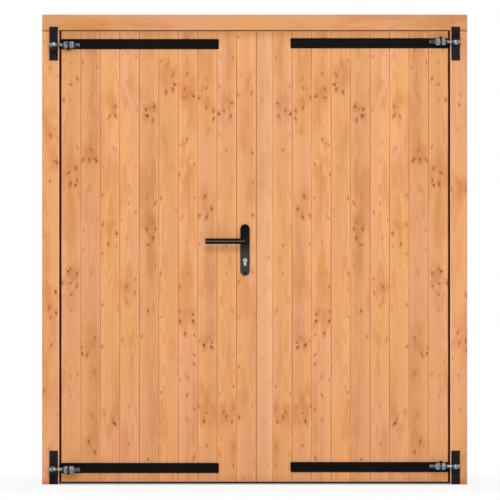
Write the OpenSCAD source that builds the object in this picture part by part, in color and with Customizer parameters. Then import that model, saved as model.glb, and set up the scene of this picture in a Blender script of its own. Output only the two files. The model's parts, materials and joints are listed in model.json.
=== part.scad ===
// Double wooden gate: two boarded leaves in a wooden frame, hung on eyebolt strap hinges.
// The front faces -Y, +Z is up, and the origin is on the floor under the middle of the gate.

/* [Frame] */
// Overall width across both posts
frame_w = 1900; // [1800:10:2200]
// Overall height to the top of the head rail
frame_h = 2100; // [1900:10:2400]
// Depth of the posts and the head rail
frame_d = 90; // [84:1:120]
// Width of a post seen from the front
post_w = 76; // [70:1:100]
// Height of the head rail
head_h = 70; // [55:1:110]
// Width of the door stops
stop_w = 22; // [18:1:30]
// Chamfer along the edges of planed timber
planed_edge = 2; // [1:0.5:3]
// Thickness of the black seals on the stops
seal_t = 3; // [2:0.5:4]
// Width of the black seals
seal_w = 16; // [14:1:17]
// Height of the black threshold bar
threshold_h = 10; // [8:1:20]
// Number of wall fixing holes in each post
wall_fixings = 4; // [2:1:6]
// Diameter of the wall fixing holes
fixing_d = 10.5; // [8:0.5:12]
// Diameter of the counterbore for a wall fixing's head
fixing_head_d = 24; // [20:1:28]
// Depth of that counterbore
fixing_head_depth = 14; // [8:1:20]
// Height of the lowest wall fixing, and of the highest below the head rail
fixing_end = 205; // [150:5:300]
// Diameter of the screws from the head rail into the posts
head_screw_d = 8; // [6:0.5:9]
// Distance from the frame's side to those screws
head_screw_inset = 20; // [16:1:22]
// Distance from the frame's front or back to those screws
head_screw_depth = 25; // [20:1:30]
// Length of those screws
head_screw_l = 140; // [110:5:180]
// Diameter of the stop screws
stop_screw_d = 5; // [4:0.5:6]
// Length of the stop screws
stop_screw_l = 55; // [40:5:70]
// Number of screws in each stop
stop_screws = 5; // [3:1:8]
// Distance from the end of a stop to its first screw
stop_screw_end = 150; // [80:10:200]

/* [Leaves] */
// Boards in each leaf
boards_per_leaf = 10; // [8:1:12]
// Thickness of the boards
board_t = 20; // [18:1:24]
// Width of the V groove between two boards
groove_w = 5; // [2:0.5:7]
// Depth of the V groove
groove_d = 2.5; // [1:0.5:3.5]
// Thickness of a board's tongue
tongue_t = 6; // [4:0.5:7]
// Length of a board's tongue
tongue_l = 6; // [4:0.5:8]
// Gap between a leaf and its post
side_gap = 9; // [7:0.5:12]
// Gap above the leaves
top_gap = 4; // [3:0.5:8]
// Gap between the leaves and the threshold
bottom_gap = 3; // [2:0.5:8]
// Gap between the boards of the two leaves
meeting_gap = 3; // [2.5:0.5:5]
// How far the lapping board reaches past the lock stile
lap_w = 17; // [14:0.5:22]
// How much narrower the right leaf shows than the left
lap_cover = 13; // [8:1:20]
// Gap between the lock stile and the meeting stile
back_gap = 6; // [5.5:0.5:8]
// Thickness of the frame behind the boards
back_t = 40; // [36:1:48]
// Width of the hinge stiles
hinge_stile_w = 90; // [70:1:110]
// Width of the lock stile
lock_stile_w = 110; // [100:1:140]
// Width of the meeting stile
meeting_stile_w = 90; // [80:1:120]
// Height of the top rails
top_rail_h = 110; // [100:1:140]
// Height of the middle rails
middle_rail_h = 110; // [80:1:140]
// Height of the bottom rails
bottom_rail_h = 150; // [120:1:200]
// Height of the middle rails' centre line above the floor
middle_rail_z = 1040; // [950:10:1150]
// Width of the braces
brace_w = 90; // [60:1:110]

/* [Hinges] */
// Height of the lower pin plates' centre
low_hinge_z = 76; // [76:1:90]
// Distance from the top of the frame to the upper pin plates' centre
top_hinge_drop = 130; // [105:1:140]
// Distance from a post's inner face to the pin axis
pin_inset = 24; // [21:0.5:28]
// Distance from the frame's front to the pin axis
pin_stand = 30; // [28:0.5:36]
// Diameter of a hinge pin
pin_d = 16; // [14:0.5:18]
// Width of a pin plate
plate_w = 38; // [34:1:40]
// Height of a pin plate
plate_h = 150; // [140:1:150]
// Thickness of a pin plate
plate_t = 6; // [5:0.5:8]
// Diameter of the boss that holds the pin
boss_d = 32; // [28:1:34]
// Height of that boss
boss_h = 16; // [12:1:20]
// How far the boss's neck is set in from the boss on each side
boss_neck_inset = 3; // [2:0.5:4]
// Diameter of the retaining head on the pin
pin_head_d = 24; // [20:1:28]
// Height of the retaining head
pin_head_h = 7; // [5:0.5:9]
// Outer diameter of the eye
eye_d = 39; // [34:1:40]
// Thickness of the eye
eye_t = 17; // [14:0.5:18]
// Height between the pin plate's centre and the eyebolt's axis
eye_drop = 7; // [4:0.5:10]
// Diameter of the eyebolt's plain shank
shank_d = 17; // [14:0.5:17]
// Length of the plain shank beyond the eye
shank_l = 20; // [16:1:24]
// How deep the thread's start is sunk in the shank
thread_sink = 0.5; // [0.3:0.1:1]
// Outer diameter of the eyebolt's thread
rod_d = 20; // [18:0.5:20]
// Distance from the pin axis to the end of the eyebolt
rod_end = 118.5; // [105:0.5:130]
// Chamfer at both ends of the thread
rod_chamfer = 2; // [1:0.5:2.5]
// Width across flats of the eyebolt's nuts
nut_af = 30; // [28:0.5:32]
// Thickness of the eyebolt's nuts
nut_t = 18; // [14:0.5:18]
// Thickness of the washer behind the far nut
washer_t = 3; // [2:0.5:4]
// Diameter of that washer
washer_d = 36; // [34:1:40]
// Distance from the pin axis to the lug
lug_x = 64; // [60:0.5:70]
// Thickness of the lug
lug_t = 6; // [5:0.5:8]
// Radius of the lug's round end
lug_r = 24; // [22:0.5:25]
// Length of a strap
strap_l = 705; // [660:5:720]
// Height of a strap
strap_w = 45; // [40:1:50]
// Thickness of a strap
strap_t = 5; // [4:0.5:6]
// Corner radius of a strap
strap_corner = 6; // [2:0.5:10]
// Height between the pin plate's centre and the strap's centre line
strap_drop = 2; // [0:0.5:4]
// Distance from the leaf's edge to the first strap bolt
strap_bolt_x = 112; // [108:1:125]
// Distance between strap bolts
strap_bolt_pitch = 185; // [150:1:187]
// Bolts in each strap
strap_bolts = 4; // [2:1:4]
// Diameter of a strap bolt
strap_bolt_d = 10; // [8:0.5:10]
// Diameter of a strap bolt's flush head
strap_bolt_head_d = 19; // [17:0.5:20]
// Diameter of the washers behind the leaf
back_washer_d = 22; // [20:1:26]
// Thickness of those washers
back_washer_t = 2; // [1.5:0.5:3]
// Width across flats of the nuts behind the leaf
back_nut_af = 17; // [16:0.5:19]
// Thickness of those nuts
back_nut_t = 8; // [6:0.5:9]
// How far a strap bolt stands out of its nut
bolt_tail = 3; // [1:0.5:5]
// Diameter of the pin plate screws
plate_screw_d = 6; // [5:0.5:6]
// Diameter of a pin plate screw's flush head
plate_screw_head_d = 12; // [11:0.5:13]
// Length of the pin plate screws
plate_screw_l = 60; // [50:5:70]
// Sideways offset of the pin plate screws
plate_screw_x = 9.5; // [8:0.5:10]
// Height from the plate's centre to the outer screws
plate_screw_outer_z = 64; // [60:1:64]
// Height from the plate's centre to the inner screws
plate_screw_inner_z = 43; // [40:1:46]

/* [Lock] */
// Distance from the left leaf's closing edge to the spindle
handle_inset = 48; // [44:0.5:52]
// Height of the lever's axis above the floor
lever_z = 1087; // [1060:1:1120]
// Distance from the lever's axis down to the key cylinder's
cylinder_drop = 85; // [85:1:92]
// Length of a lever from its axis to its tip
lever_l = 177; // [120:1:185]
// Diameter of the lever bar
lever_d = 25; // [20:0.5:26]
// Distance from the leaf's face to the lever bar's axis
lever_stand = 60; // [50:1:70]
// Width of the handle plates
handle_plate_w = 42; // [38:1:46]
// Height of the handle plates
handle_plate_h = 230; // [220:1:250]
// Thickness of the handle plates
handle_plate_t = 8; // [6:0.5:10]
// Chamfer round the handle plates' edges
handle_plate_edge = 2; // [1:0.5:3]
// Distance from the top of a handle plate to the lever's axis
handle_plate_top = 76; // [70:1:90]
// Distance from a handle plate's end to its bolt
handle_bolt_end = 13; // [11:0.5:16]
// Diameter of the bolts through the handle plates
handle_bolt_d = 6; // [5:0.5:6]
// Diameter of their flush heads
handle_bolt_head_d = 11; // [9:0.5:12]
// Side of the square spindle
spindle_w = 8; // [8:1:9]
// How far the spindle enters each lever
spindle_grip = 25; // [15:1:30]
// Diameter of the cylinder's round part
cylinder_d = 17; // [17:0.5:18]
// Width of the cylinder's tail
cylinder_tail_w = 10; // [9:0.5:10]
// Distance from the plug's axis to the bottom of the tail
cylinder_tail_h = 24.5; // [23:0.5:26]
// How far the cylinder stands out of the handle plates
cylinder_proud = 3; // [1:0.5:4]
// Diameter of the plug
plug_d = 12; // [11:0.5:12.5]
// Radius that the plug's cam reaches
cam_r = 15.5; // [13:0.5:15.5]
// Thickness of the cam
cam_t = 10; // [8:0.5:10]
// Thickness of the lock case
case_t = 16; // [15:0.5:18]
// Depth of the lock case from the faceplate's front
case_depth = 70; // [68:1:80]
// Height of the lock case above the lever's axis
case_above = 35; // [35:1:45]
// Height of the lock case below the cylinder's axis
case_below = 40; // [28:1:45]
// Thickness of the lock case's walls
case_wall = 1.5; // [1:0.25:1.5]
// Height of the faceplate and of the strike plate
faceplate_h = 235; // [225:1:240]
// Width of the faceplate
faceplate_w = 20; // [18:1:24]
// Thickness of the faceplate
faceplate_t = 3; // [2:0.5:3.5]
// Height of the latch's head
latch_h = 20; // [16:1:20]
// How far the latch stands out
latch_throw = 14; // [12:0.5:14]
// Thickness of the latch and of the dead bolt
bolt_t = 11; // [9:0.5:12]
// Height of the dead bolt
dead_h = 30; // [24:1:32]
// How far the dead bolt is thrown
dead_throw = 20; // [15:1:22]
// Thickness of the strike plate
strike_t = 2.5; // [2:0.5:3]
// Width of the strike plate
strike_w = 24; // [20:1:26]
// Distance from the faceplate's end to its screw
edge_screw_end = 10; // [8:1:12]
// Radius of the follower's hub
follower_r = 11; // [10:0.5:11]
// Thickness of the follower
follower_t = 12; // [10:0.5:12]
// Width of the follower's arm
arm_w = 5; // [4:0.5:5]
// Radius that the follower's arm reaches
arm_r = 25; // [24:0.5:25.5]
// Gap between the follower's arm and the latch's hook
arm_gap = 2; // [1.5:0.25:2.5]
// How far the latch's hook reaches down beside the arm's end
hook_reach = 6; // [4:0.5:6.5]
// Depth of the latch's head behind the faceplate's front
latch_head_depth = 12; // [10:0.5:13]
// Height of the latch's tail bar
latch_tail_h = 5; // [4:0.5:5]
// Thickness of the latch's hook
latch_hook_w = 6; // [5:0.5:7]
// Diameter of the pin that guides the latch spring
guide_pin_d = 4; // [3:0.5:4.5]
// Length of that pin
guide_pin_l = 10; // [6:1:10]
// Length of the dead bolt
dead_l = 45; // [35:1:48]
// Gap between the cam's circle and the dead bolt
cam_gap = 1.5; // [1:0.25:2]
// Width of the cam
cam_w = 7; // [6:0.5:8]
// Width of the keyway
keyway_w = 2.5; // [2:0.25:3]
// Height of the keyway
keyway_h = 8; // [7:0.5:8.5]
// Depth of the keyway
keyway_l = 22; // [15:1:25]
// Chamfer on the end of a lever
lever_edge = 2; // [1:0.5:4]
// Wire diameter of the latch spring
spring_wire = 1.2; // [0.8:0.1:1.4]
// Outer diameter of the latch spring
spring_d = 8; // [7:0.5:9]
// Turns of the latch spring
spring_turns = 7; // [5:1:9]

/* [Slide bolts] */
// Diameter of the slide bolts at the back of the right leaf
slide_d = 14; // [12:0.5:16]
// Length of the upper slide bolt
top_slide_l = 300; // [250:10:400]
// Length of the lower slide bolt
bottom_slide_l = 360; // [300:10:450]
// Travel of the upper slide bolt
top_slide_throw = 24; // [15:1:26]
// Travel of the lower slide bolt
bottom_slide_throw = 14; // [10:1:15]
// Distance from a withdrawn slide bolt's end to what it shoots into
slide_rest = 6; // [4:0.5:8]
// How far a slide bolt reaches past its base plate
slide_tail = 16; // [10:1:30]
// Distance from the leaf's end to the nearest guide
end_guide_inset = 30; // [20:1:60]
// Distance from the leaf's back to a slide bolt's axis
slide_stand = 15; // [13:0.5:18]
// Width of a slide bolt's guides and base plate
guide_w = 30; // [28:1:36]
// Height of a guide
guide_h = 22; // [16:1:24]
// Thickness of a guide behind the bolt
guide_wall = 4; // [3:0.5:6]
// Length of the base plate
base_l = 150; // [130:5:180]
// Thickness of the base plate
base_t = 3; // [2:0.5:4]
// Width of each ear beside an end guide
ear_w = 13; // [11:0.5:15]
// Diameter of the small screws that hold lock plates and guides
small_screw_d = 4; // [3:0.5:4]
// Length of the small screws
small_screw_l = 24; // [16:1:26]
// Diameter of the knob
knob_d = 20; // [16:1:24]
// Distance from the bolt's axis to the knob's centre
knob_stand = 32; // [28:1:36]
// Diameter of the knob's stem
knob_stem_d = 9; // [7:0.5:10]

/* [Clearances] */
// Radial clearance of pins, levers and plugs in their bores
running_fit = 0.05; // [0.02:0.01:0.1]
// Gap between the eye and what it turns against, and between leaf and seal
rub_gap = 0.3; // [0.2:0.05:0.5]
// Gap between two boards
board_gap = 0.3; // [0.2:0.05:0.5]
// Radial clearance of bolts and screws in their holes
bolt_clear = 0.2; // [0.1:0.05:0.5]
// Clearance round pieces that slide in openings
slide_clear = 0.5; // [0.3:0.1:0.8]
// Clearance of a slide bolt in its mortise
mortise_clear = 1; // [0.8:0.1:1.5]
// Room behind the thrown dead bolt in its pocket
pocket_clear = 3; // [2:0.5:5]

/* [Hidden] */
$fn = 64;
wood = [0.80, 0.50, 0.24];
black = [0.07, 0.06, 0.06];
zinc = [0.72, 0.73, 0.75];
rubber = [0.05, 0.05, 0.05];
cut = 1;

leaf_t = board_t + back_t;
leaf_front = -leaf_t / 2;
leaf_back = leaf_t / 2;
frame_front = leaf_front;
board_back = leaf_front + board_t;
stop_front = leaf_back + rub_gap + seal_t;
stop_d = frame_front + frame_d - stop_front;
opening_w = frame_w - 2 * post_w;
post_h = frame_h - head_h;
left_leaf_w = (opening_w - 2 * side_gap - meeting_gap + lap_cover) / 2;
right_leaf_w = left_leaf_w - lap_cover;
board_pitch = left_leaf_w / boards_per_leaf;
hinge_edge = opening_w / 2 - side_gap;
seam_x = left_leaf_w - hinge_edge;
lock_edge = seam_x - lap_w;
meeting_edge = lock_edge + back_gap;
leaf_bottom = threshold_h + bottom_gap;
leaf_top = post_h - top_gap;
leaf_h = leaf_top - leaf_bottom;

pin_x = opening_w / 2 + pin_inset;
pin_y = frame_front - pin_stand;
hinge_zs = [low_hinge_z, frame_h - top_hinge_drop];
strap_x = pin_inset + side_gap;
strap_front = leaf_front - strap_t;
nut_corner_d = nut_af / cos(30);
boss_top = -eye_drop - eye_t / 2 - rub_gap;
eye_top = -eye_drop + eye_t / 2;

lock_x = seam_x - handle_inset;
lock_y = board_back + back_t / 2;
cylinder_z = lever_z - cylinder_drop;
plate_top_z = lever_z + handle_plate_top;
plate_bottom_z = plate_top_z - handle_plate_h;
handle_bolt_zs = [plate_bottom_z + handle_bolt_end, plate_top_z - handle_bolt_end];
faceplate_z = (plate_top_z + plate_bottom_z) / 2;
case_top_z = lever_z + case_above;
case_bottom_z = cylinder_z - case_below;
case_front_x = lock_edge - faceplate_t;
case_back_x = lock_edge - case_depth;
latch_z = lever_z + follower_r + 2 * slide_clear + latch_h / 2;
latch_tail_z = latch_z + latch_h / 2 - latch_tail_h;
latch_hook_x = lock_x - arm_w / 2 - arm_gap;
latch_hook_z = lever_z + arm_r - hook_reach;
spring_z = (latch_hook_z + latch_tail_z) / 2;
dead_z = cylinder_z + cam_r + cam_gap + dead_h / 2;
latch_hole = [latch_h + 2 * slide_clear, bolt_t + 2 * slide_clear];
dead_hole = [dead_h + 2 * slide_clear, bolt_t + 2 * slide_clear];

slide_x = meeting_edge + meeting_stile_w / 2;
slide_y = leaf_back + slide_stand;
top_slide_end = post_h - stop_w - slide_rest;
bottom_slide_end = threshold_h + slide_rest;
top_base_z = top_slide_end - top_slide_l;
bottom_base_z = bottom_slide_end + bottom_slide_l - base_l;
top_guide_z = leaf_top - end_guide_inset - guide_h;
bottom_guide_z = leaf_bottom + end_guide_inset;

// Basic shapes

// A box between its lowest and its highest corner
module block(low, high) {
    translate(low) cube(high - low);
}

function planed(w, d, e) =
    [[e, 0], [w - e, 0], [w, e], [w, d - e], [w - e, d], [e, d], [0, d - e], [0, e]];

// Planed timber that stands upright
module upright(low, size) {
    translate(low) linear_extrude(size.z) polygon(planed(size.x, size.y, planed_edge));
}

// Planed timber that lies along X
module crossbar(low, size) {
    translate(low) rotate([90, 0, 90])
        linear_extrude(size.x) polygon(planed(size.y, size.z, planed_edge));
}

// A flat bar with rounded corners, from x = 0 and centred on y = 0
module rounded_bar(length, width, corner) {
    translate([corner, -width / 2]) square([length - 2 * corner, width]);
    translate([0, corner - width / 2]) square([length, width - 2 * corner]);
    for (x = [corner, length - corner], y = [-1, 1])
        translate([x, y * (width / 2 - corner)]) circle(corner);
}

// A low dome on a flat base
module dome(d, h) {
    ball_r = (d * d / 4 + h * h) / (2 * h);
    intersection() {
        translate([0, 0, h - ball_r]) sphere(ball_r, $fn = 96);
        cylinder(d = d, h = h);
    }
}

// A screw or bolt with a flush head: its head's face is at the origin and it runs along +Z
module flush_screw(d, head_d, length) {
    cylinder(d1 = head_d, d2 = d, h = (head_d - d) / 2);
    cylinder(d = d, h = length);
}

// The hole that such a screw needs
module flush_hole(d, head_d, length) {
    translate([0, 0, -cut]) cylinder(d = head_d + 2 * bolt_clear, h = cut + 0.01);
    cylinder(d1 = head_d + 2 * bolt_clear, d2 = d + 2 * bolt_clear, h = (head_d - d) / 2);
    cylinder(d = d + 2 * bolt_clear, h = length);
}

// Turns +Z to +Y
module along_y() {
    rotate([-90, 0, 0]) children();
}

// Turns +Z to +X
module along_x() {
    rotate([0, 90, 0]) children();
}

// The frame

function fixing_z(i) =
    fixing_end + i * (post_h - 2 * fixing_end) / (wall_fixings - 1);

module head_screw_places(side) {
    for (y = [head_screw_depth, frame_d - head_screw_depth])
        translate([side * (frame_w / 2 - head_screw_inset), frame_front + y, frame_h])
            rotate([180, 0, 0]) children();
}

// The place of screw i in a stop that runs from one coordinate to another
function stop_screw_at(from, to, i) =
    from + stop_screw_end + i * (to - from - 2 * stop_screw_end) / (stop_screws - 1);

// Places for the stop screws, which run outwards along X
module stop_screw_places(side) {
    for (i = [0 : stop_screws - 1])
        translate([
            side * (opening_w / 2 - stop_w), stop_front + stop_d / 2,
            stop_screw_at(threshold_h, post_h, i)
        ]) rotate([0, side * 90, 0]) children();
}

module head_stop_screw_places() {
    for (i = [0 : stop_screws - 1])
        translate([
            stop_screw_at(-opening_w / 2, opening_w / 2, i), stop_front + stop_d / 2, post_h - stop_w
        ]) children();
}

module plate_screw_places() {
    for (k = [-1, 1]) {
        translate([k * plate_screw_x, frame_front - plate_t, k * plate_screw_outer_z]) children();
        translate([-k * plate_screw_x, frame_front - plate_t, k * plate_screw_inner_z]) children();
    }
}

// A hinge's own frame: its pin axis is at x = 0 and its leaf lies towards +X
module at_hinge(side, z) {
    translate([side * pin_x, 0, z]) rotate([0, side > 0 ? 180 : 0, 0]) children();
}

module plate_screw_holes(side) {
    for (z = hinge_zs)
        at_hinge(side, z) plate_screw_places()
            along_y() cylinder(d = plate_screw_d + 2 * bolt_clear, h = plate_screw_l + cut);
}

module post(side) {
    difference() {
        upright([side > 0 ? opening_w / 2 : -frame_w / 2, frame_front, 0], [post_w, frame_d, post_h]);
        for (i = [0 : wall_fixings - 1])
            translate([side * opening_w / 2, 0, fixing_z(i)]) rotate([0, side * 90, 0]) {
                translate([0, 0, -cut]) cylinder(d = fixing_d, h = post_w + 2 * cut);
                translate([0, 0, -cut]) cylinder(d = fixing_head_d, h = fixing_head_depth + cut);
            }
        head_screw_places(side) flush_hole(head_screw_d, 2 * head_screw_d, head_screw_l + cut);
        stop_screw_places(side) cylinder(d = stop_screw_d + 2 * bolt_clear, h = stop_screw_l + cut);
        plate_screw_holes(side);
    }
}

module left_post() {
    color(wood) post(-1);
}

module right_post() {
    color(wood) post(1);
}

module head_rail() {
    color(wood) difference() {
        crossbar([-frame_w / 2, frame_front, post_h], [frame_w, frame_d, head_h]);
        for (side = [-1, 1]) {
            head_screw_places(side) flush_hole(head_screw_d, 2 * head_screw_d, head_screw_l);
            plate_screw_holes(side);
        }
        head_stop_screw_places() cylinder(d = stop_screw_d + 2 * bolt_clear, h = stop_screw_l + cut);
    }
}

module side_stop(side) {
    stop_x = side > 0 ? opening_w / 2 - stop_w : -opening_w / 2;
    difference() {
        upright([stop_x, stop_front, threshold_h], [stop_w, stop_d, post_h - threshold_h]);
        stop_screw_places(side) flush_hole(stop_screw_d, 2 * stop_screw_d, stop_w + cut);
    }
}

module left_stop() {
    color(wood) side_stop(-1);
}

module right_stop() {
    color(wood) side_stop(1);
}

// A square hole that a slide bolt enters
module slide_mortise(z_from, z_to) {
    half = slide_d / 2 + mortise_clear;
    block([slide_x - half, slide_y - half, z_from], [slide_x + half, slide_y + half, z_to]);
}

module head_stop() {
    color(wood) difference() {
        crossbar(
            [stop_w - opening_w / 2, stop_front, post_h - stop_w],
            [opening_w - 2 * stop_w, stop_d, stop_w]
        );
        head_stop_screw_places() flush_hole(stop_screw_d, 2 * stop_screw_d, stop_w + cut);
        slide_mortise(post_h - stop_w - cut, post_h + cut);
    }
}

module stop_seals() {
    color(rubber) for (side = [-1, 1])
        block(
            [min(side * opening_w / 2, side * (opening_w / 2 - seal_w)), leaf_back + rub_gap, threshold_h],
            [max(side * opening_w / 2, side * (opening_w / 2 - seal_w)), stop_front, post_h]
        );
}

module threshold_bar() {
    color(black) difference() {
        block([-opening_w / 2, frame_front, 0], [opening_w / 2, frame_front + frame_d, threshold_h]);
        slide_mortise(-cut, threshold_h + cut);
    }
}

module frame_screws() {
    color(zinc) {
        for (side = [-1, 1]) {
            head_screw_places(side) flush_screw(head_screw_d, 2 * head_screw_d, head_screw_l);
            stop_screw_places(side) flush_screw(stop_screw_d, 2 * stop_screw_d, stop_screw_l);
        }
        head_stop_screw_places() flush_screw(stop_screw_d, 2 * stop_screw_d, stop_screw_l);
    }
}

// Pin plate with its welded boss, in the hinge's own frame
module pin_plate() {
    difference() {
        union() {
            block(
                [-plate_w / 2, frame_front - plate_t, -plate_h / 2],
                [plate_w / 2, frame_front, plate_h / 2]
            );
            block(
                [boss_neck_inset - boss_d / 2, pin_y, boss_top - boss_h],
                [boss_d / 2 - boss_neck_inset, frame_front - plate_t, boss_top]
            );
            translate([0, pin_y, boss_top - boss_h]) cylinder(d = boss_d, h = boss_h);
        }
        translate([0, pin_y, boss_top - boss_h - cut])
            cylinder(d = pin_d + 2 * running_fit, h = boss_h + 2 * cut);
        plate_screw_places()
            along_y() flush_hole(plate_screw_d, plate_screw_head_d, plate_t + cut);
    }
}

module left_pin_plates() {
    color(black) for (z = hinge_zs) at_hinge(-1, z) pin_plate();
}

module right_pin_plates() {
    color(black) for (z = hinge_zs) at_hinge(1, z) pin_plate();
}

// A shouldered pin screwed into the boss, with a domed head that keeps the eye on it
module hinge_pin() {
    translate([0, pin_y, boss_top - boss_h])
        cylinder(d = pin_d, h = eye_top + 2 * rub_gap - boss_top + boss_h);
    translate([0, pin_y, eye_top + rub_gap]) dome(pin_head_d, pin_head_h);
}

module hinge_pins() {
    color(zinc) for (side = [-1, 1], z = hinge_zs) at_hinge(side, z) hinge_pin();
}

module pin_plate_screws() {
    color(black) for (side = [-1, 1], z = hinge_zs)
        at_hinge(side, z) plate_screw_places()
            along_y() flush_screw(plate_screw_d, plate_screw_head_d, plate_screw_l);
}

// The leaves

tongue_y = board_t / 2 + 1;
tongue_slot_t = tongue_t + 0.4;
tongue_slot_l = tongue_l + 0.6;

// A board's cross-section: V edges at the front, a groove on its first side, a tongue on its second
function board_outline(w, tongue, groove) = concat(
    [[groove_w / 2, 0], [w - groove_w / 2, 0], [w, groove_d]],
    tongue ? [
        [w, tongue_y - tongue_t / 2], [w + tongue_l, tongue_y - tongue_t / 2],
        [w + tongue_l, tongue_y + tongue_t / 2], [w, tongue_y + tongue_t / 2]
    ] : [],
    [[w, board_t], [0, board_t]],
    groove ? [
        [0, tongue_y + tongue_slot_t / 2], [tongue_slot_l, tongue_y + tongue_slot_t / 2],
        [tongue_slot_l, tongue_y - tongue_slot_t / 2], [0, tongue_y - tongue_slot_t / 2]
    ] : [],
    [[0, groove_d]]
);

// One board of the left leaf, counted from the hinge side
module leaf_board(i, w) {
    translate([i * board_pitch - hinge_edge, leaf_front, leaf_bottom]) linear_extrude(leaf_h)
        polygon(board_outline(w, i < boards_per_leaf - 1, i > 0));
}

module strap_bolt_places() {
    for (i = [0 : strap_bolts - 1])
        translate([strap_x + strap_bolt_x + i * strap_bolt_pitch, strap_front, -strap_drop])
            along_y() children();
}

module strap_bolt_holes(side) {
    for (z = hinge_zs)
        at_hinge(side, z) strap_bolt_places()
            cylinder(d = strap_bolt_d + 2 * bolt_clear, h = strap_t + leaf_t + cut);
}

module handle_bolt_holes() {
    for (z = handle_bolt_zs)
        translate([lock_x, leaf_front - cut, z])
            along_y() cylinder(d = handle_bolt_d + 2 * bolt_clear, h = leaf_t + 2 * cut);
}

// The cylinder's outline, grown by a clearance, extruded along Y between two places
module cylinder_shape(y_from, y_to, clear) {
    tail_r = cylinder_tail_w / 2 + clear;
    translate([lock_x, y_to, cylinder_z]) rotate([90, 0, 0]) linear_extrude(y_to - y_from) {
        circle(cylinder_d / 2 + clear);
        translate([0, cylinder_tail_w / 2 - cylinder_tail_h]) circle(tail_r);
        translate([-tail_r, cylinder_tail_w / 2 - cylinder_tail_h])
            square([2 * tail_r, cylinder_tail_h - cylinder_tail_w / 2]);
    }
}

// Places for the two screws in the faceplate, or in the strike plate with side = 1
module edge_screw_places(x, side) {
    for (z = [-1, 1])
        translate([x, lock_y, faceplate_z + z * (faceplate_h / 2 - edge_screw_end)])
            rotate([0, side * 90, 0]) children();
}

module small_screws() {
    flush_screw(small_screw_d, 2 * small_screw_d, small_screw_l);
}

// Through a plate's thickness the hole is countersunk, and beyond it is plain
module small_screw_holes() {
    flush_hole(small_screw_d, 2 * small_screw_d, small_screw_l + cut);
}

// The holes that the spindle, the cylinder and the plate bolts need through the leaf
module lock_holes() {
    translate([lock_x, leaf_front - cut, lever_z])
        along_y() cylinder(d = 2 * spindle_w, h = leaf_t + 2 * cut);
    cylinder_shape(leaf_front - cut, leaf_back + cut, 2 * slide_clear);
    handle_bolt_holes();
}

module left_boards() {
    color(wood) difference() {
        for (i = [0 : boards_per_leaf - 2]) leaf_board(i, board_pitch - board_gap);
        strap_bolt_holes(-1);
    }
}

module left_lapping_board() {
    color(wood) difference() {
        leaf_board(boards_per_leaf - 1, board_pitch);
        lock_holes();
    }
}

module right_boards() {
    color(wood) difference() {
        mirror([1, 0, 0])
            for (i = [0 : boards_per_leaf - 2]) leaf_board(i, board_pitch - board_gap);
        strap_bolt_holes(1);
    }
}

module right_meeting_board() {
    color(wood) mirror([1, 0, 0]) leaf_board(boards_per_leaf - 1, board_pitch - lap_cover);
}

module back_upright(x, w) {
    upright([x, board_back, leaf_bottom], [w, back_t, leaf_h]);
}

module left_hinge_stile() {
    color(wood) back_upright(-hinge_edge, hinge_stile_w);
}

module right_hinge_stile() {
    color(wood) back_upright(hinge_edge - hinge_stile_w, hinge_stile_w);
}

module left_lock_stile() {
    color(wood) difference() {
        back_upright(lock_edge - lock_stile_w, lock_stile_w);
        lock_holes();
        block(
            [case_back_x - slide_clear, lock_y - case_t / 2 - 0.2, case_bottom_z - slide_clear],
            [lock_edge + cut, lock_y + case_t / 2 + 0.2, case_top_z + slide_clear]
        );
        block(
            [case_front_x, lock_y - faceplate_w / 2, faceplate_z - faceplate_h / 2],
            [lock_edge + cut, lock_y + faceplate_w / 2, faceplate_z + faceplate_h / 2]
        );
        edge_screw_places(lock_edge, -1) small_screw_holes();
    }
}

module strike_holes(x_from, x_to) {
    for (hole = [[latch_z, latch_hole], [dead_z, dead_hole]])
        block(
            [x_from, lock_y - hole[1].y / 2 - slide_clear, hole[0] - hole[1].x / 2 - slide_clear],
            [x_to, lock_y + hole[1].y / 2 + slide_clear, hole[0] + hole[1].x / 2 + slide_clear]
        );
}

// The rebate that the lapping board closes over, with the seal in it
seal_rebate = seal_t;
rebate_edge = seam_x + meeting_gap;

module right_meeting_stile() {
    color(wood) difference() {
        back_upright(meeting_edge, meeting_stile_w);
        block(
            [meeting_edge - cut, board_back - cut, leaf_bottom - cut],
            [rebate_edge, board_back + seal_rebate, leaf_top + cut]
        );
        block(
            [meeting_edge - cut, lock_y - strike_w / 2, faceplate_z - faceplate_h / 2],
            [meeting_edge + strike_t, lock_y + strike_w / 2, faceplate_z + faceplate_h / 2]
        );
        strike_holes(meeting_edge - cut, lock_edge + dead_throw + pocket_clear);
        edge_screw_places(meeting_edge, 1) small_screw_holes();
        guide_screw_places() small_screw_holes();
    }
}

module meeting_seal() {
    color(rubber) block(
        [meeting_edge, board_back + rub_gap, leaf_bottom],
        [seam_x, board_back + seal_rebate, leaf_top]
    );
}

module strike_plate() {
    color(zinc) difference() {
        block(
            [meeting_edge, lock_y - strike_w / 2, faceplate_z - faceplate_h / 2],
            [meeting_edge + strike_t, lock_y + strike_w / 2, faceplate_z + faceplate_h / 2]
        );
        strike_holes(meeting_edge - cut, meeting_edge + strike_t + cut);
        edge_screw_places(meeting_edge, 1) small_screw_holes();
    }
}

module strike_plate_screws() {
    color(zinc) edge_screw_places(meeting_edge, 1) small_screws();
}

// Where a leaf's rails start and end, from its stiles
left_rail_x = [hinge_stile_w - hinge_edge, lock_edge - lock_stile_w];
right_rail_x = [meeting_edge + meeting_stile_w, hinge_edge - hinge_stile_w];
top_rail_z = [leaf_top - top_rail_h, leaf_top];
middle_rail_zs = [middle_rail_z - middle_rail_h / 2, middle_rail_z + middle_rail_h / 2];
bottom_rail_z = [leaf_bottom, leaf_bottom + bottom_rail_h];

module rail(xs, zs, side) {
    color(wood) difference() {
        crossbar([xs[0], board_back, zs[0]], [xs[1] - xs[0], back_t, zs[1] - zs[0]]);
        strap_bolt_holes(side);
    }
}

module left_top_rail() {
    rail(left_rail_x, top_rail_z, -1);
}

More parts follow.
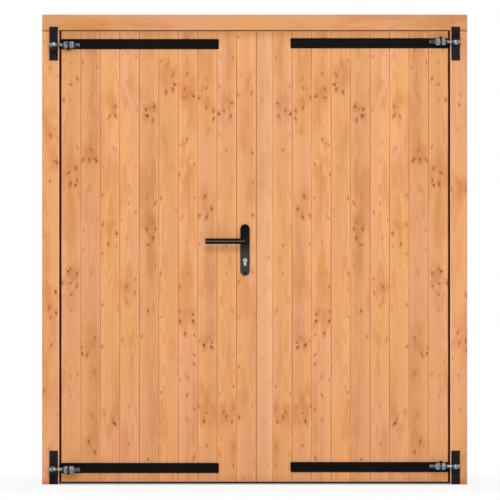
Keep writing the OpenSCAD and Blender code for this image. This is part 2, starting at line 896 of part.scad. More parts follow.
module left_middle_rail() {
    rail(left_rail_x, middle_rail_zs, -1);
}

module left_bottom_rail() {
    rail(left_rail_x, bottom_rail_z, -1);
}

module right_top_rail() {
    rail(right_rail_x, top_rail_z, 1);
}

module right_middle_rail() {
    rail(right_rail_x, middle_rail_zs, 1);
}

module right_bottom_rail() {
    rail(right_rail_x, bottom_rail_z, 1);
}

// A brace rises from the hinge side, and its ends are cut to the rails and stiles
module brace(xs, zs, rise) {
    panel_w = xs[1] - xs[0];
    panel_h = zs[1] - zs[0];
    slope = rise * atan2(panel_h, panel_w);
    intersection() {
        block([xs[0], board_back, zs[0]], [xs[1], leaf_back, zs[1]]);
        translate([(xs[0] + xs[1]) / 2, board_back - cut, (zs[0] + zs[1]) / 2])
            rotate([0, -slope, 0])
                translate([-panel_w - panel_h, 0, -brace_w / 2])
                    cube([2 * (panel_w + panel_h), back_t + 2 * cut, brace_w]);
    }
}

module braces(xs, rise) {
    color(wood) {
        brace(xs, [bottom_rail_z[1], middle_rail_zs[0]], rise);
        brace(xs, [middle_rail_zs[1], top_rail_z[0]], rise);
    }
}

module left_braces() {
    braces(left_rail_x, 1);
}

module right_braces() {
    braces(right_rail_x, -1);
}

// A strap with its welded lug, in the hinge's own frame
module strap() {
    color(black) difference() {
        union() {
            translate([strap_x, leaf_front, -strap_drop]) rotate([90, 0, 0])
                linear_extrude(strap_t) rounded_bar(strap_l, strap_w, strap_corner);
            translate([lug_x, 0, 0]) rotate([90, 0, 90]) linear_extrude(lug_t) {
                translate([pin_y, -eye_drop]) circle(lug_r);
                translate([pin_y, -eye_drop - lug_r]) square([strap_front - pin_y, 2 * lug_r]);
            }
        }
        strap_bolt_places() flush_hole(strap_bolt_d, strap_bolt_head_d, strap_t + cut);
        translate([lug_x - cut, pin_y, -eye_drop])
            along_x() cylinder(d = rod_d + 4 * bolt_clear, h = lug_t + 2 * cut);
    }
}

module left_straps() {
    for (z = hinge_zs) at_hinge(-1, z) strap();
}

module right_straps() {
    for (z = hinge_zs) at_hinge(1, z) strap();
}

// An eyebolt: its eye turns on the pin, and its thread passes through the lug
module eyebolt() {
    thread_x = eye_d / 2 + shank_l;
    difference() {
        translate([0, pin_y, -eye_drop]) {
            translate([0, 0, -eye_t / 2]) cylinder(d = eye_d, h = eye_t);
            along_x() cylinder(d = shank_d, h = rod_end - cut);
            translate([thread_x - rod_chamfer, 0, 0])
                along_x() cylinder(d1 = shank_d - 2 * thread_sink, d2 = rod_d, h = rod_chamfer);
            translate([thread_x, 0, 0])
                along_x() cylinder(d = rod_d, h = rod_end - rod_chamfer - thread_x);
            translate([rod_end - rod_chamfer, 0, 0])
                along_x() cylinder(d1 = rod_d, d2 = rod_d - 2 * rod_chamfer, h = rod_chamfer);
        }
        translate([0, pin_y, -eye_drop - eye_t])
            cylinder(d = pin_d + 2 * running_fit, h = 2 * eye_t);
    }
}

module eyebolts(side) {
    color(zinc) for (z = hinge_zs) at_hinge(side, z) eyebolt();
}

module left_eyebolts() {
    eyebolts(-1);
}

module right_eyebolts() {
    eyebolts(1);
}

// A hexagon nut with flats above and below, from x towards +X
module rod_nut(x) {
    translate([x, pin_y, -eye_drop]) along_x() difference() {
        rotate([0, 0, 30]) cylinder(d = nut_corner_d, h = nut_t, $fn = 6);
        translate([0, 0, -cut]) cylinder(d = rod_d + 2 * bolt_clear, h = nut_t + 2 * cut);
    }
}

module eye_nuts(side) {
    color(zinc) for (z = hinge_zs) at_hinge(side, z) {
        rod_nut(lug_x - nut_t);
        translate([lug_x + lug_t, pin_y, -eye_drop]) along_x() difference() {
            cylinder(d = washer_d, h = washer_t);
            translate([0, 0, -cut]) cylinder(d = rod_d + 2 * bolt_clear, h = washer_t + 2 * cut);
        }
        rod_nut(lug_x + lug_t + washer_t);
    }
}

module left_eye_nuts() {
    eye_nuts(-1);
}

module right_eye_nuts() {
    eye_nuts(1);
}

// Flush bolts through strap and leaf, each with a washer and a nut at the back
module strap_bolts(side) {
    head_h = strap_t + leaf_t;
    color(black) for (z = hinge_zs) at_hinge(side, z) strap_bolt_places() {
        flush_screw(strap_bolt_d, strap_bolt_head_d, head_h + back_washer_t + back_nut_t + bolt_tail);
        translate([0, 0, head_h]) difference() {
            cylinder(d = back_washer_d, h = back_washer_t);
            translate([0, 0, -cut]) cylinder(d = strap_bolt_d + bolt_clear, h = back_washer_t + 2 * cut);
        }
        translate([0, 0, head_h + back_washer_t]) difference() {
            cylinder(d = back_nut_af / cos(30), h = back_nut_t, $fn = 6);
            translate([0, 0, -cut]) cylinder(d = strap_bolt_d + bolt_clear, h = back_nut_t + 2 * cut);
        }
    }
}

module left_strap_bolts() {
    strap_bolts(-1);
}

module right_strap_bolts() {
    strap_bolts(1);
}

// The lock

// The case is a tray that opens to the back, and the cover closes it
module case_holes() {
    translate([lock_x, lock_y - case_t, lever_z])
        along_y() cylinder(r = spindle_w, h = 2 * case_t);
    cylinder_shape(lock_y - case_t, lock_y + case_t, slide_clear);
}

module lock_case() {
    color(zinc) difference() {
        block(
            [case_back_x, lock_y - case_t / 2, case_bottom_z],
            [case_front_x, lock_y + case_t / 2 - case_wall, case_top_z]
        );
        block(
            [case_back_x + case_wall, lock_y - case_t / 2 + case_wall, case_bottom_z + case_wall],
            [case_front_x - case_wall, lock_y + case_t / 2, case_top_z - case_wall]
        );
        case_holes();
        front_slots(case_front_x - 2 * case_wall, case_front_x + cut);
    }
}

module lock_cover() {
    color(zinc) difference() {
        block(
            [case_back_x, lock_y + case_t / 2 - case_wall, case_bottom_z],
            [case_front_x, lock_y + case_t / 2, case_top_z]
        );
        case_holes();
    }
}

// The slots for the latch and the dead bolt in the case's front wall and the faceplate
module front_slots(x_from, x_to) {
    for (slot = [[latch_z, latch_hole], [dead_z, dead_hole]])
        block(
            [x_from, lock_y - slot[1].y / 2, slot[0] - slot[1].x / 2],
            [x_to, lock_y + slot[1].y / 2, slot[0] + slot[1].x / 2]
        );
}

module lock_faceplate() {
    color(zinc) difference() {
        block(
            [case_front_x, lock_y - faceplate_w / 2, faceplate_z - faceplate_h / 2],
            [lock_edge, lock_y + faceplate_w / 2, faceplate_z + faceplate_h / 2]
        );
        front_slots(case_front_x - cut, lock_edge + cut);
        edge_screw_places(lock_edge, -1) small_screw_holes();
    }
}

module faceplate_screws() {
    color(zinc) edge_screw_places(lock_edge, -1) small_screws();
}

// A handle plate on the leaf's front, with round ends and a chamfered edge
module handle_plate() {
    r = handle_plate_w / 2;
    lower_t = handle_plate_t - handle_plate_edge;
    end_zs = [plate_bottom_z + r, plate_top_z - r];
    difference() {
        union() {
            block(
                [lock_x - r, leaf_front - lower_t, end_zs[0]],
                [lock_x + r, leaf_front, end_zs[1]]
            );
            translate([lock_x, leaf_front - lower_t, end_zs[0]]) linear_extrude(end_zs[1] - end_zs[0])
                polygon([
                    [-r, 0], [r, 0],
                    [r - handle_plate_edge, -handle_plate_edge],
                    [handle_plate_edge - r, -handle_plate_edge]
                ]);
            for (z = end_zs) translate([lock_x, leaf_front, z]) rotate([90, 0, 0]) {
                cylinder(r = r, h = lower_t);
                translate([0, 0, lower_t])
                    cylinder(r1 = r, r2 = r - handle_plate_edge, h = handle_plate_edge);
            }
        }
        translate([lock_x, leaf_front - handle_plate_t - cut, lever_z])
            along_y() cylinder(d = lever_d + 2 * running_fit, h = handle_plate_t + 2 * cut);
        cylinder_shape(leaf_front - handle_plate_t - cut, leaf_front + cut, slide_clear);
        for (z = handle_bolt_zs) translate([lock_x, leaf_front - handle_plate_t, z])
            along_y() flush_hole(handle_bolt_d, handle_bolt_head_d, handle_plate_t + cut);
    }
}

module outer_handle_plate() {
    color(black) handle_plate();
}

module inner_handle_plate() {
    color(black) mirror([0, 1, 0]) handle_plate();
}

// Each bolt has a flush head at the front, and at the back a flush sleeve that it screws into
module handle_plate_bolts() {
    bolt_l = leaf_t + 2 * handle_plate_t;
    color(black) for (z = handle_bolt_zs) translate([lock_x, leaf_front - handle_plate_t, z]) along_y() {
        flush_screw(handle_bolt_d, handle_bolt_head_d, bolt_l);
        translate([0, 0, bolt_l]) rotate([180, 0, 0])
            flush_screw(handle_bolt_d, handle_bolt_head_d, bolt_l / 2);
    }
}

cylinder_front = leaf_front - handle_plate_t - cylinder_proud;

module cylinder_body() {
    color(zinc) difference() {
        cylinder_shape(cylinder_front, -cylinder_front, 0);
        translate([lock_x, cylinder_front - cut, cylinder_z]) along_y()
            cylinder(d = plug_d + 2 * running_fit, h = 2 * cut - 2 * cylinder_front);
        translate([lock_x, lock_y - cam_t / 2 - slide_clear, cylinder_z])
            along_y() cylinder(r = cam_r + 2 * slide_clear, h = cam_t + 2 * slide_clear);
    }
}

// The plug carries the cam that throws the dead bolt, and has a keyway at both ends
module cylinder_plug() {
    color(zinc) translate([lock_x, 0, cylinder_z]) difference() {
        union() {
            translate([0, cylinder_front, 0]) along_y() cylinder(d = plug_d, h = -2 * cylinder_front);
            translate([0, lock_y - cam_t / 2, 0]) along_y() {
                cylinder(d = cylinder_d - 1, h = cam_t);
                intersection() {
                    cylinder(r = cam_r, h = cam_t);
                    translate([-cam_w / 2, 0, 0]) cube([cam_w, cam_r, cam_t]);
                }
            }
        }
        for (y = [cylinder_front, -cylinder_front])
            translate([0, y, 0]) cube([keyway_w, 2 * keyway_l, keyway_h], center = true);
    }
}

module spindle() {
    spindle_l = leaf_t + 2 * spindle_grip;
    color(zinc) translate([lock_x, 0, lever_z])
        cube([spindle_w, spindle_l, spindle_w], center = true);
}

// A lever in front of the leaf: a round neck out of the plate, mitred into a bar towards -X
module lever() {
    bar_y = leaf_front - lever_stand;
    reach = 2 * lever_l;
    socket = spindle_w + 2 * running_fit;
    translate([lock_x, 0, lever_z]) difference() {
        union() {
            intersection() {
                translate([0, bar_y - lever_d, 0])
                    along_y() cylinder(d = lever_d, h = lever_stand + lever_d - cut);
                translate([0, bar_y, 0]) rotate([0, 0, 45])
                    translate([0, -reach / 2, -reach / 2]) cube(reach);
            }
            intersection() {
                translate([lever_edge - lever_l, bar_y, 0])
                    along_x() cylinder(d = lever_d, h = lever_l + lever_d);
                translate([0, bar_y, 0]) rotate([0, 0, 45])
                    translate([-reach, -reach / 2, -reach / 2]) cube(reach);
            }
            translate([-lever_l, bar_y, 0])
                along_x() cylinder(d1 = lever_d - 2 * lever_edge, d2 = lever_d, h = lever_edge);
        }
        translate([-socket / 2, leaf_front - spindle_grip - running_fit, -socket / 2])
            cube([socket, spindle_grip + running_fit, socket]);
    }
}

module outer_lever() {
    color(black) lever();
}

module inner_lever() {
    color(black) mirror([0, 1, 0]) lever();
}

// The follower turns with the spindle, and its arm draws the latch back
module follower() {
    socket = spindle_w + 2 * running_fit;
    color(zinc) translate([lock_x, lock_y, lever_z]) difference() {
        union() {
            rotate([90, 0, 0]) cylinder(r = follower_r, h = follower_t, center = true);
            translate([-arm_w / 2, -follower_t / 2, 0]) cube([arm_w, follower_t, arm_r]);
        }
        cube([socket, 2 * follower_t, socket], center = true);
    }
}

// The latch: a bevelled head, a tail above the follower's arm, and a hook behind the arm
module latch_bolt() {
    head_x = lock_edge + latch_throw;
    head_back_x = lock_edge - latch_head_depth;
    bevel = latch_throw - 2;
    nose_t = 1.5;
    color(zinc) {
        difference() {
            block(
                [head_back_x, lock_y - bolt_t / 2, latch_z - latch_h / 2],
                [head_x, lock_y + bolt_t / 2, latch_z + latch_h / 2]
            );
            translate([head_x, lock_y + bolt_t / 2, latch_z - latch_h / 2 - cut])
                linear_extrude(latch_h + 2 * cut)
                    polygon([
                        [cut, cut], [-bevel, cut], [-bevel, 0],
                        [0, nose_t - bolt_t], [cut, nose_t - bolt_t]
                    ]);
        }
        block(
            [latch_hook_x - latch_hook_w, lock_y - bolt_t / 4, latch_tail_z],
            [head_back_x + cut, lock_y + bolt_t / 4, latch_tail_z + latch_tail_h]
        );
        block(
            [latch_hook_x - latch_hook_w, lock_y - bolt_t / 2, latch_hook_z],
            [latch_hook_x, lock_y + bolt_t / 2, latch_tail_z + latch_tail_h]
        );
        translate([latch_hook_x - latch_hook_w - guide_pin_l, lock_y, spring_z])
            along_x() cylinder(d = guide_pin_d, h = guide_pin_l + cut);
    }
}

module dead_bolt() {
    front_x = lock_edge - slide_clear;
    color(zinc) block(
        [front_x - dead_l, lock_y - bolt_t / 2, dead_z - dead_h / 2],
        [front_x, lock_y + bolt_t / 2, dead_z + dead_h / 2]
    );
}

// A round wire wound along +X, one unbroken tube
module coil(length, outer_d, wire, turns) {
    sides = 6;
    steps = 12 * turns;
    mid_r = (outer_d - wire) / 2;
    pitch = (length - wire) / turns;
    function ring_point(i, j) = let (
        turn = 360 * i * turns / steps,
        across = 360 * j / sides,
        r = mid_r + wire / 2 * cos(across)
    ) [wire / 2 + pitch * turns * i / steps + wire / 2 * sin(across), r * cos(turn), r * sin(turn)];
    points = [for (i = [0 : steps], j = [0 : sides - 1]) ring_point(i, j)];
    walls = [for (i = [0 : steps - 1], j = [0 : sides - 1]) let (k = (j + 1) % sides) each [
        [i * sides + j, i * sides + k, (i + 1) * sides + k],
        [i * sides + j, (i + 1) * sides + k, (i + 1) * sides + j]
    ]];
    ends = [
        [for (j = [sides - 1 : -1 : 0]) j],
        [for (j = [0 : sides - 1]) steps * sides + j]
    ];
    polyhedron(points, concat(walls, ends));
}

module latch_spring() {
    spring_from = case_back_x + case_wall + rub_gap;
    spring_to = latch_hook_x - latch_hook_w - rub_gap;
    color(zinc) translate([spring_from, lock_y, spring_z])
        coil(spring_to - spring_from, spring_d, spring_wire, spring_turns);
}

// The slide bolts of the right leaf

// A guide block that a slide bolt runs through, on the base plate's thickness
module slide_guide(z) {
    translate([slide_x, 0, z]) difference() {
        block([-guide_w / 2, leaf_back, 0], [guide_w / 2, slide_y + slide_d / 2 + guide_wall, guide_h]);
        translate([0, slide_y, -cut]) cylinder(d = slide_d + 2 * running_fit, h = guide_h + 2 * cut);
    }
}

// A base plate from z up, reaching half_w to each side
module base_plate(z, half_w, height) {
    block([slide_x - half_w, leaf_back, z], [slide_x + half_w, leaf_back + base_t, z + height]);
}

// Places for the screws in base plates and ears, from the plate's face into the leaf
module guide_screw_places() {
    plate_places = [
        for (z = [top_base_z, bottom_base_z], side = [-1, 1], end = [0, 1])
            [side * guide_w / 3, z + guide_h + ear_w / 2 + end * (base_l - 2 * guide_h - ear_w)]
    ];
    ear_places = [
        for (z = [top_guide_z, bottom_guide_z], side = [-1, 1])
            [side * (guide_w + ear_w) / 2, z + guide_h / 2]
    ];
    for (place = concat(plate_places, ear_places))
        translate([slide_x + place.x, leaf_back + base_t, place.y]) rotate([90, 0, 0]) children();
}

module slide_bolt_housings() {
    color(black) difference() {
        union() {
            for (z = [top_base_z, bottom_base_z]) {
                base_plate(z, guide_w / 2, base_l);
                slide_guide(z);
                slide_guide(z + base_l - guide_h);
            }
            for (z = [top_guide_z, bottom_guide_z]) {
                base_plate(z, guide_w / 2 + ear_w, guide_h);
                slide_guide(z);
            }
        }
        guide_screw_places() small_screw_holes();
    }
}

module slide_bolt_screws() {
    color(black) guide_screw_places() small_screws();
}

// A rod from z_from to z_to with its knob at knob_z
module slide_rod(z_from, z_to, knob_z) {
    color(black) {
        translate([slide_x, slide_y, z_from]) cylinder(d = slide_d, h = z_to - z_from);
        translate([slide_x, slide_y, knob_z]) along_y() {
            cylinder(d = knob_stem_d, h = knob_stand);
            translate([0, 0, knob_stand]) sphere(d = knob_d);
        }
    }
}

module top_slide_bolt() {
    slide_rod(top_base_z - slide_tail, top_slide_end, top_base_z + (base_l - top_slide_throw) / 2);
}

module bottom_slide_bolt() {
    slide_rod(
        bottom_slide_end, bottom_base_z + base_l + slide_tail,
        bottom_base_z + (base_l + bottom_slide_throw) / 2
    );
}

left_post();
right_post();
head_rail();
left_stop();
right_stop();
head_stop();
stop_seals();
threshold_bar();
frame_screws();
left_pin_plates();
right_pin_plates();
hinge_pins();
pin_plate_screws();
left_boards();
left_lapping_board();
left_hinge_stile();
left_lock_stile();
left_top_rail();
left_middle_rail();
left_bottom_rail();
left_braces();
left_straps();
left_eyebolts();
left_eye_nuts();
left_strap_bolts();
lock_case();
lock_cover();
lock_faceplate();
faceplate_screws();
outer_handle_plate();
inner_handle_plate();
handle_plate_bolts();
cylinder_body();
latch_spring();
right_boards();
right_meeting_board();
right_hinge_stile();
right_meeting_stile();
right_top_rail();
right_middle_rail();
right_bottom_rail();
right_braces();
right_straps();
right_eyebolts();
right_eye_nuts();
right_strap_bolts();
meeting_seal();
strike_plate();
strike_plate_screws();
slide_bolt_housings();
slide_bolt_screws();
outer_lever();
inner_lever();
spindle();
follower();
latch_bolt();
dead_bolt();
cylinder_plug();
top_slide_bolt();
bottom_slide_bolt();
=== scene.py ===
# %% [markdown]
# # A double wooden gate, dressed for its picture
# The gate has two boarded leaves in a wooden frame, hung on black strap hinges whose eyebolts are bright zinc.
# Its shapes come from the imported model, in metres, and stay where they are.
# This lesson adds the light, the finishes, and the fasteners whose threads and recesses a plain solid lacks.

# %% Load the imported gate
import json
import math

import bmesh
import bpy
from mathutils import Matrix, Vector

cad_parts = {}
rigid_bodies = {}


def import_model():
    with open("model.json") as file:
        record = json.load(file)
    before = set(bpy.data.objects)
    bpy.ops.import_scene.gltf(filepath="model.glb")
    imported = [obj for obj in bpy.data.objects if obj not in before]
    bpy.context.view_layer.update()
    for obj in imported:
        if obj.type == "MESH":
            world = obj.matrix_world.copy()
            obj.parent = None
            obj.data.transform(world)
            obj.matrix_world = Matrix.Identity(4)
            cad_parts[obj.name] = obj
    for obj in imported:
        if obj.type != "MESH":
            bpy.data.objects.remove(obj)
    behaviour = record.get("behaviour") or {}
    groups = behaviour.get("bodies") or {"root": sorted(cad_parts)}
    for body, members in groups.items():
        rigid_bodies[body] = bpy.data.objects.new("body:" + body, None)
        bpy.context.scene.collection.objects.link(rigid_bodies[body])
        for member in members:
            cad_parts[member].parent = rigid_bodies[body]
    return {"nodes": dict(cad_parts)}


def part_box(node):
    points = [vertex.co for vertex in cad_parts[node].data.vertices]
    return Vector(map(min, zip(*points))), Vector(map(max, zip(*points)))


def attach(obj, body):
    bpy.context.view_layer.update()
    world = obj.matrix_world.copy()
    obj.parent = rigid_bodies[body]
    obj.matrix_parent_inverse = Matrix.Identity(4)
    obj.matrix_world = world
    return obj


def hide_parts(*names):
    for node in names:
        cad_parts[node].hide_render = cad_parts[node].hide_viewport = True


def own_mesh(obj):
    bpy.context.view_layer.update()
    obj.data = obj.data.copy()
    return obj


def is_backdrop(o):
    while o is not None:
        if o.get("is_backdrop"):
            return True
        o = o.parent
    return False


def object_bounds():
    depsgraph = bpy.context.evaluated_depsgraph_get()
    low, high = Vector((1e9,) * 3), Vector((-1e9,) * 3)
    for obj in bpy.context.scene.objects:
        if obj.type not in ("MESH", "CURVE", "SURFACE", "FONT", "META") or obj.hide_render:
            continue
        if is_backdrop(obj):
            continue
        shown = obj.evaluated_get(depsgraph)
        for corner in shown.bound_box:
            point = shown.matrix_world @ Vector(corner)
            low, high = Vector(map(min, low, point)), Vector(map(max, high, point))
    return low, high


bpy.ops.object.select_all(action="SELECT")
bpy.ops.object.delete()
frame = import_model()
nodes = frame["nodes"]
cad_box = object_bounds()
print("nodes", len(nodes), "box", [round(v, 4) for corner in cad_box for v in corner])

# %% [markdown]
# ## The camera
# The photograph is taken square on, from far away, so upright edges stay upright and nothing converges.
# A long lens 20 metres off gives that look, and it can still be moved to fit the other views.

# %% Place the camera
metre_per_pixel = 0.004469
photo_pixels = 500
gate_middle_px = 254.67
gate_foot_px = 484.48
camera_distance = 20.0
frame_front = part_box("left_post")[0].y
view_width = photo_pixels * metre_per_pixel
camera_x = (photo_pixels / 2 - gate_middle_px) * metre_per_pixel
camera_z = (gate_foot_px - photo_pixels / 2) * metre_per_pixel
bpy.ops.object.camera_add(
    location=(camera_x, frame_front - camera_distance, camera_z), rotation=(math.pi / 2, 0, 0)
)
camera = bpy.context.object
camera.name = "photo_camera"
camera.data.lens = camera.data.sensor_width * camera_distance / view_width
camera.data.clip_end = 200
bpy.context.scene.camera = camera
bpy.context.scene.view_settings.view_transform = "Standard"
print("lens", round(camera.data.lens, 1), "mm, view", round(view_width, 3), "m wide")

# %% [markdown]
# ## Shader sums
# A finish is a sum of many small effects, and a graph of Math nodes is hard to read.
# So a socket is wrapped in a small class: plus, minus and times on it add the Math node for that sum.

# %% A socket that works in sums
def math_node(operation, swapped=False):
    """A method that adds this Math node, its own socket first or, if swapped, last."""
    def method(self, *others):
        values = (*others, self) if swapped else (self, *others)
        return self.shader.node("Math", {"operation": operation}, dict(enumerate(values)))

    return method


class Socket:
    """One output of a node; a sum on it adds a Math node."""

    __add__, __radd__ = math_node("ADD"), math_node("ADD", swapped=True)
    __sub__, __rsub__ = math_node("SUBTRACT"), math_node("SUBTRACT", swapped=True)
    __mul__, __rmul__ = math_node("MULTIPLY"), math_node("MULTIPLY", swapped=True)
    __truediv__, __rtruediv__ = math_node("DIVIDE"), math_node("DIVIDE", swapped=True)
    floor = math_node("FLOOR")
    fract = math_node("FRACT")
    abs = math_node("ABSOLUTE")
    root = math_node("SQRT")
    exp = math_node("EXPONENT")
    least = math_node("MINIMUM")
    most = math_node("MAXIMUM")
    above = math_node("GREATER_THAN")

    def __init__(self, shader, out):
        self.shader = shader
        self.out = out

    def ramp(self, low, high, at_low=0.0, at_high=1.0):
        """A smooth step from at_low, where the socket is low or less, to at_high."""
        sockets = {"Value": self, "From Min": low, "From Max": high, "To Min": at_low, "To Max": at_high}
        return self.shader.node("MapRange", {"interpolation_type": "SMOOTHSTEP"}, sockets, "Result")

    def also(self, name):
        """Another output of the same node."""
        return Socket(self.shader, Shader.find(self.out.node.outputs, name))


# %% A material that is written as sums
class Shader:
    """A new material or world; a material also has its place in Object coordinates."""

    def __init__(self, name, world=None):
        self.material = world or bpy.data.materials.new(name)
        self.material.use_nodes = True
        self.tree = self.material.node_tree
        self.tree.nodes.clear()
        if not world:
            self.place = self.node("TexCoord", {}, {}, "Object")
            self.x, self.y, self.z = self.split(self.place)

    @staticmethod
    def find(sockets, key):
        if isinstance(key, int):
            return sockets[key]
        return next(s for s in sockets if s.name == key and s.enabled)

    def node(self, kind, settings, sockets, out=0):
        made = self.tree.nodes.new("ShaderNode" + kind)
        for key, value in settings.items():
            setattr(made, key, value)
        for key, value in sockets.items():
            socket = self.find(made.inputs, key)
            if isinstance(value, Socket):
                self.tree.links.new(value.out, socket)
            else:
                socket.default_value = value
        return Socket(self, self.find(made.outputs, out)) if made.outputs else None

    def split(self, vector):
        first = self.node("SeparateXYZ", {}, {0: vector}, "X")
        return first, first.also("Y"), first.also("Z")

    def join(self, x, y, z):
        return self.node("CombineXYZ", {}, {"X": x, "Y": y, "Z": z})

    def noise(self, vector, scale=1.0, detail=2.0):
        """Smooth random values from 0 to 1, with this many finer layers."""
        sockets = {"Vector": vector, "Scale": scale, "Detail": detail, "Roughness": 0.5}
        return self.node("TexNoise", {"noise_dimensions": "3D"}, sockets)

    def cells(self, vector, feature="F1"):
        """Voronoi cells of size 1 in the plane: Color is a cell's dice, and Position its middle."""
        settings = {"voronoi_dimensions": "2D", "feature": feature}
        return self.node("TexVoronoi", settings, {"Vector": vector, "Scale": 1.0}, "Color")

    def dice(self, number):
        """Three random numbers from 0 to 1 for each whole number."""
        rolled = self.node("TexWhiteNoise", {"noise_dimensions": "1D"}, {"W": number}, "Color")
        return self.split(rolled)

    def mix(self, share, first, second):
        """The first colour with this share of the second."""
        return self.node("Mix", {"data_type": "RGBA"}, {"Factor": share, "A": first, "B": second}, "Result")

    def scaled(self, colour, factor):
        return self.node("VectorMath", {"operation": "SCALE"}, {0: colour, "Scale": factor})

    def bump(self, height, depth, strength=1.0):
        return self.node("Bump", {}, {"Height": height, "Distance": depth, "Strength": strength})

    def finish(self, **sockets):
        """Adds the surface: a keyword's underscores stand for the blanks in a socket's name."""
        named = {key.replace("_", " "): value for key, value in sockets.items()}
        surface = self.node("BsdfPrincipled", {}, named)
        self.node("OutputMaterial", {}, {"Surface": surface})
        return self.material


def screen(*levels):
    """The linear colour that shows as these levels of red, green and blue, from 0 to 255."""
    shares = [level / 255 for level in levels]
    return (*(v / 12.92 if v <= 0.04045 else ((v + 0.055) / 1.055) ** 2.4 for v in shares), 1.0)


print("a stained board's mean linear colour:", [round(v, 3) for v in screen(227, 160, 107)])

# %% [markdown]
# ## Floor, backdrop and light
# The picture has a plain white ground. The floor is a real, pale one near the gate, to catch its shadow, and
# turns white for the camera further away, where it meets the white world.
# The picture's shadow is all but washed out, so a share of the white lies over the near floor too.
# Mirror and glass rays see that white too, so that bright metal reflects the room it seems to stand in.

# %% What the camera sees as the white room
def room_rays(shader):
    """1 for the rays that see the room: the camera's, and those that mirror or glass sends on."""
    camera_ray = shader.node("LightPath", {}, {}, "Is Camera Ray")
    mirrored = camera_ray.also("Is Glossy Ray")
    return camera_ray.most(mirrored).most(camera_ray.also("Is Transmission Ray"))


white = (1.0, 1.0, 1.0, 1.0)
shadow_wash = 0.86
shader = Shader("pale_floor")
beside = (shader.x.abs() - cad_box[1].x).most(0.0)
floor_reach = (beside * beside + shader.y * shader.y).root()
floor_grain = shader.noise(shader.place, 40.0).ramp(0.3, 0.7, 0.93, 0.97)
floor_colour = shader.scaled((0.93, 0.93, 0.93), floor_grain)
pale = shader.node("BsdfDiffuse", {}, {"Color": floor_colour})
plain_white = shader.node("Emission", {}, {"Color": white, "Strength": 1.0})
far_off = floor_reach.ramp(low=0.2, high=1.4, at_low=shadow_wash) * room_rays(shader)
floor_mix = shader.node("MixShader", {}, {0: far_off, 1: pale, 2: plain_white})
shader.node("OutputMaterial", {}, {"Surface": floor_mix})

bpy.ops.mesh.primitive_plane_add(size=120, location=(0, 0, -0.0005))
floor = bpy.context.object
floor.name = "floor"
bpy.ops.object.transform_apply(location=True)
floor.data.materials.append(shader.material)
floor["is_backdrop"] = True
print("floor", [round(v, 1) for v in floor.dimensions])

# %% The soft, even light of the world
sky_strength = 0.50
world = bpy.data.worlds.new("white_room")
bpy.context.scene.world = world
sky = Shader("white_room", world)
strength = room_rays(sky) * (1.0 - sky_strength) + sky_strength
sky_light = sky.node("Background", {}, {"Color": white, "Strength": strength})
sky.node("OutputWorld", {}, {"Surface": sky_light})
print("sky strength", sky_strength, "for the light, 1 for the eye")


# %% Large soft lamps all round
def soft_lamp(name, place, aim, size, power):
    """A square lamp of this size in metres that faces the point it aims at."""
    bpy.ops.object.light_add(type="AREA", location=place)
    lamp = bpy.context.object
    lamp.name = name
    lamp.data.size = size
    lamp.data.energy = power
    lamp.rotation_euler = (Vector(aim) - Vector(place)).to_track_quat("-Z", "Y").to_euler()


gate_middle = (0, 0, 1.1)
soft_lamp("front_lamp", (0, -4.2, 3.3), gate_middle, size=1.4, power=68)
soft_lamp("low_front_lamp", (0.5, -4.0, 0.45), (0, 0, 0.9), size=1.5, power=36)
soft_lamp("left_back_lamp", (-3.5, 3.6, 3.0), gate_middle, size=2.0, power=54)
soft_lamp("right_back_lamp", (3.5, 3.6, 3.0), gate_middle, size=2.0, power=54)

# %% [markdown]
# ## Stained softwood
# The boards are spruce under an orange-brown see-through stain. Each has its own tone, broad bands of lighter and
# darker wood, arches of growth rings, knots, and fine fibres.
# All of it is worked out from the place in a plank's own space, which lies far from its neighbour's, so that no
# figure runs on from board to board.

# %% A plank's own space
class Plank:
    """Where a point lies in its plank: metres along the grain, across the face, and in depth."""

    def __init__(self, shader, along, across, depth, width, start, last=None, seed=0.0):
        number = ((across - start) / width).floor()
        if last is not None:
            number = number.least(last)
        self.shader, self.number, self.width = shader, number, width
        self.along, self.depth = along, depth
        self.local = across - (number + 0.5) * width - start
        self.dice = shader.dice(number + seed)
        self.side = self.local + number * plank_gap + seed
        self.run = along + number * plank_slip
        self.space = shader.join(self.side, depth, self.run)

    def noise(self, across, along, detail=2.0):
        """Noise with about this many patches in a metre across and along the grain."""
        factors = {0: self.space, 1: (across, across, along)}
        stretched = self.shader.node("VectorMath", {"operation": "MULTIPLY"}, factors)
        return self.shader.noise(stretched, 1.0, detail)


plank_gap = 3.1
plank_slip = 1.7
print("planks lie", plank_gap, "m apart in the wood's space")


# %% Which way the grain runs
def laid(shader, grain, mirror):
    """Metres along and across a grain that runs upright, level, or at an angle in radians to the floor; and how
    much a face looks along it and across it."""
    x = shader.x * mirror
    normal_x, _, normal_z = shader.split(shader.node("NewGeometry", {}, {}, "Normal"))
    if grain == "upright":
        return shader.z, x, normal_z, normal_x
    if grain == "level":
        return x, shader.z, normal_x, normal_z
    run, rise = math.cos(grain), math.sin(grain)
    along = x * run + shader.z * rise
    across = shader.z * run - x * rise
    return along, across, normal_z, normal_z * run - normal_x * mirror * rise


print("grain runs upright, level or at a slope")

# %% [markdown]
# ### Knots
# A knot is a branch, sawn across. Painted dots would repeat, so random cells scatter the knots: each cell's dice
# say whether a branch left there, how thick it was and how it leans. A tree also grows rings of branches, the
# whorls, and near their places more cells are filled.

# %% Where branches leave a plank
knot_reach = 0.62


def nearest(shader, side, run, places):
    """Metres to the nearest of some places in a plank's space, shorter along the grain than across it."""
    point = shader.join(side, run * knot_reach, 0.0)
    least = None
    for across, along in places:
        sockets = {0: point, 1: (across, along * knot_reach, 0.0)}
        away = shader.node("VectorMath", {"operation": "DISTANCE"}, sockets, "Value")
        least = away if least is None else least.least(away)
    return least


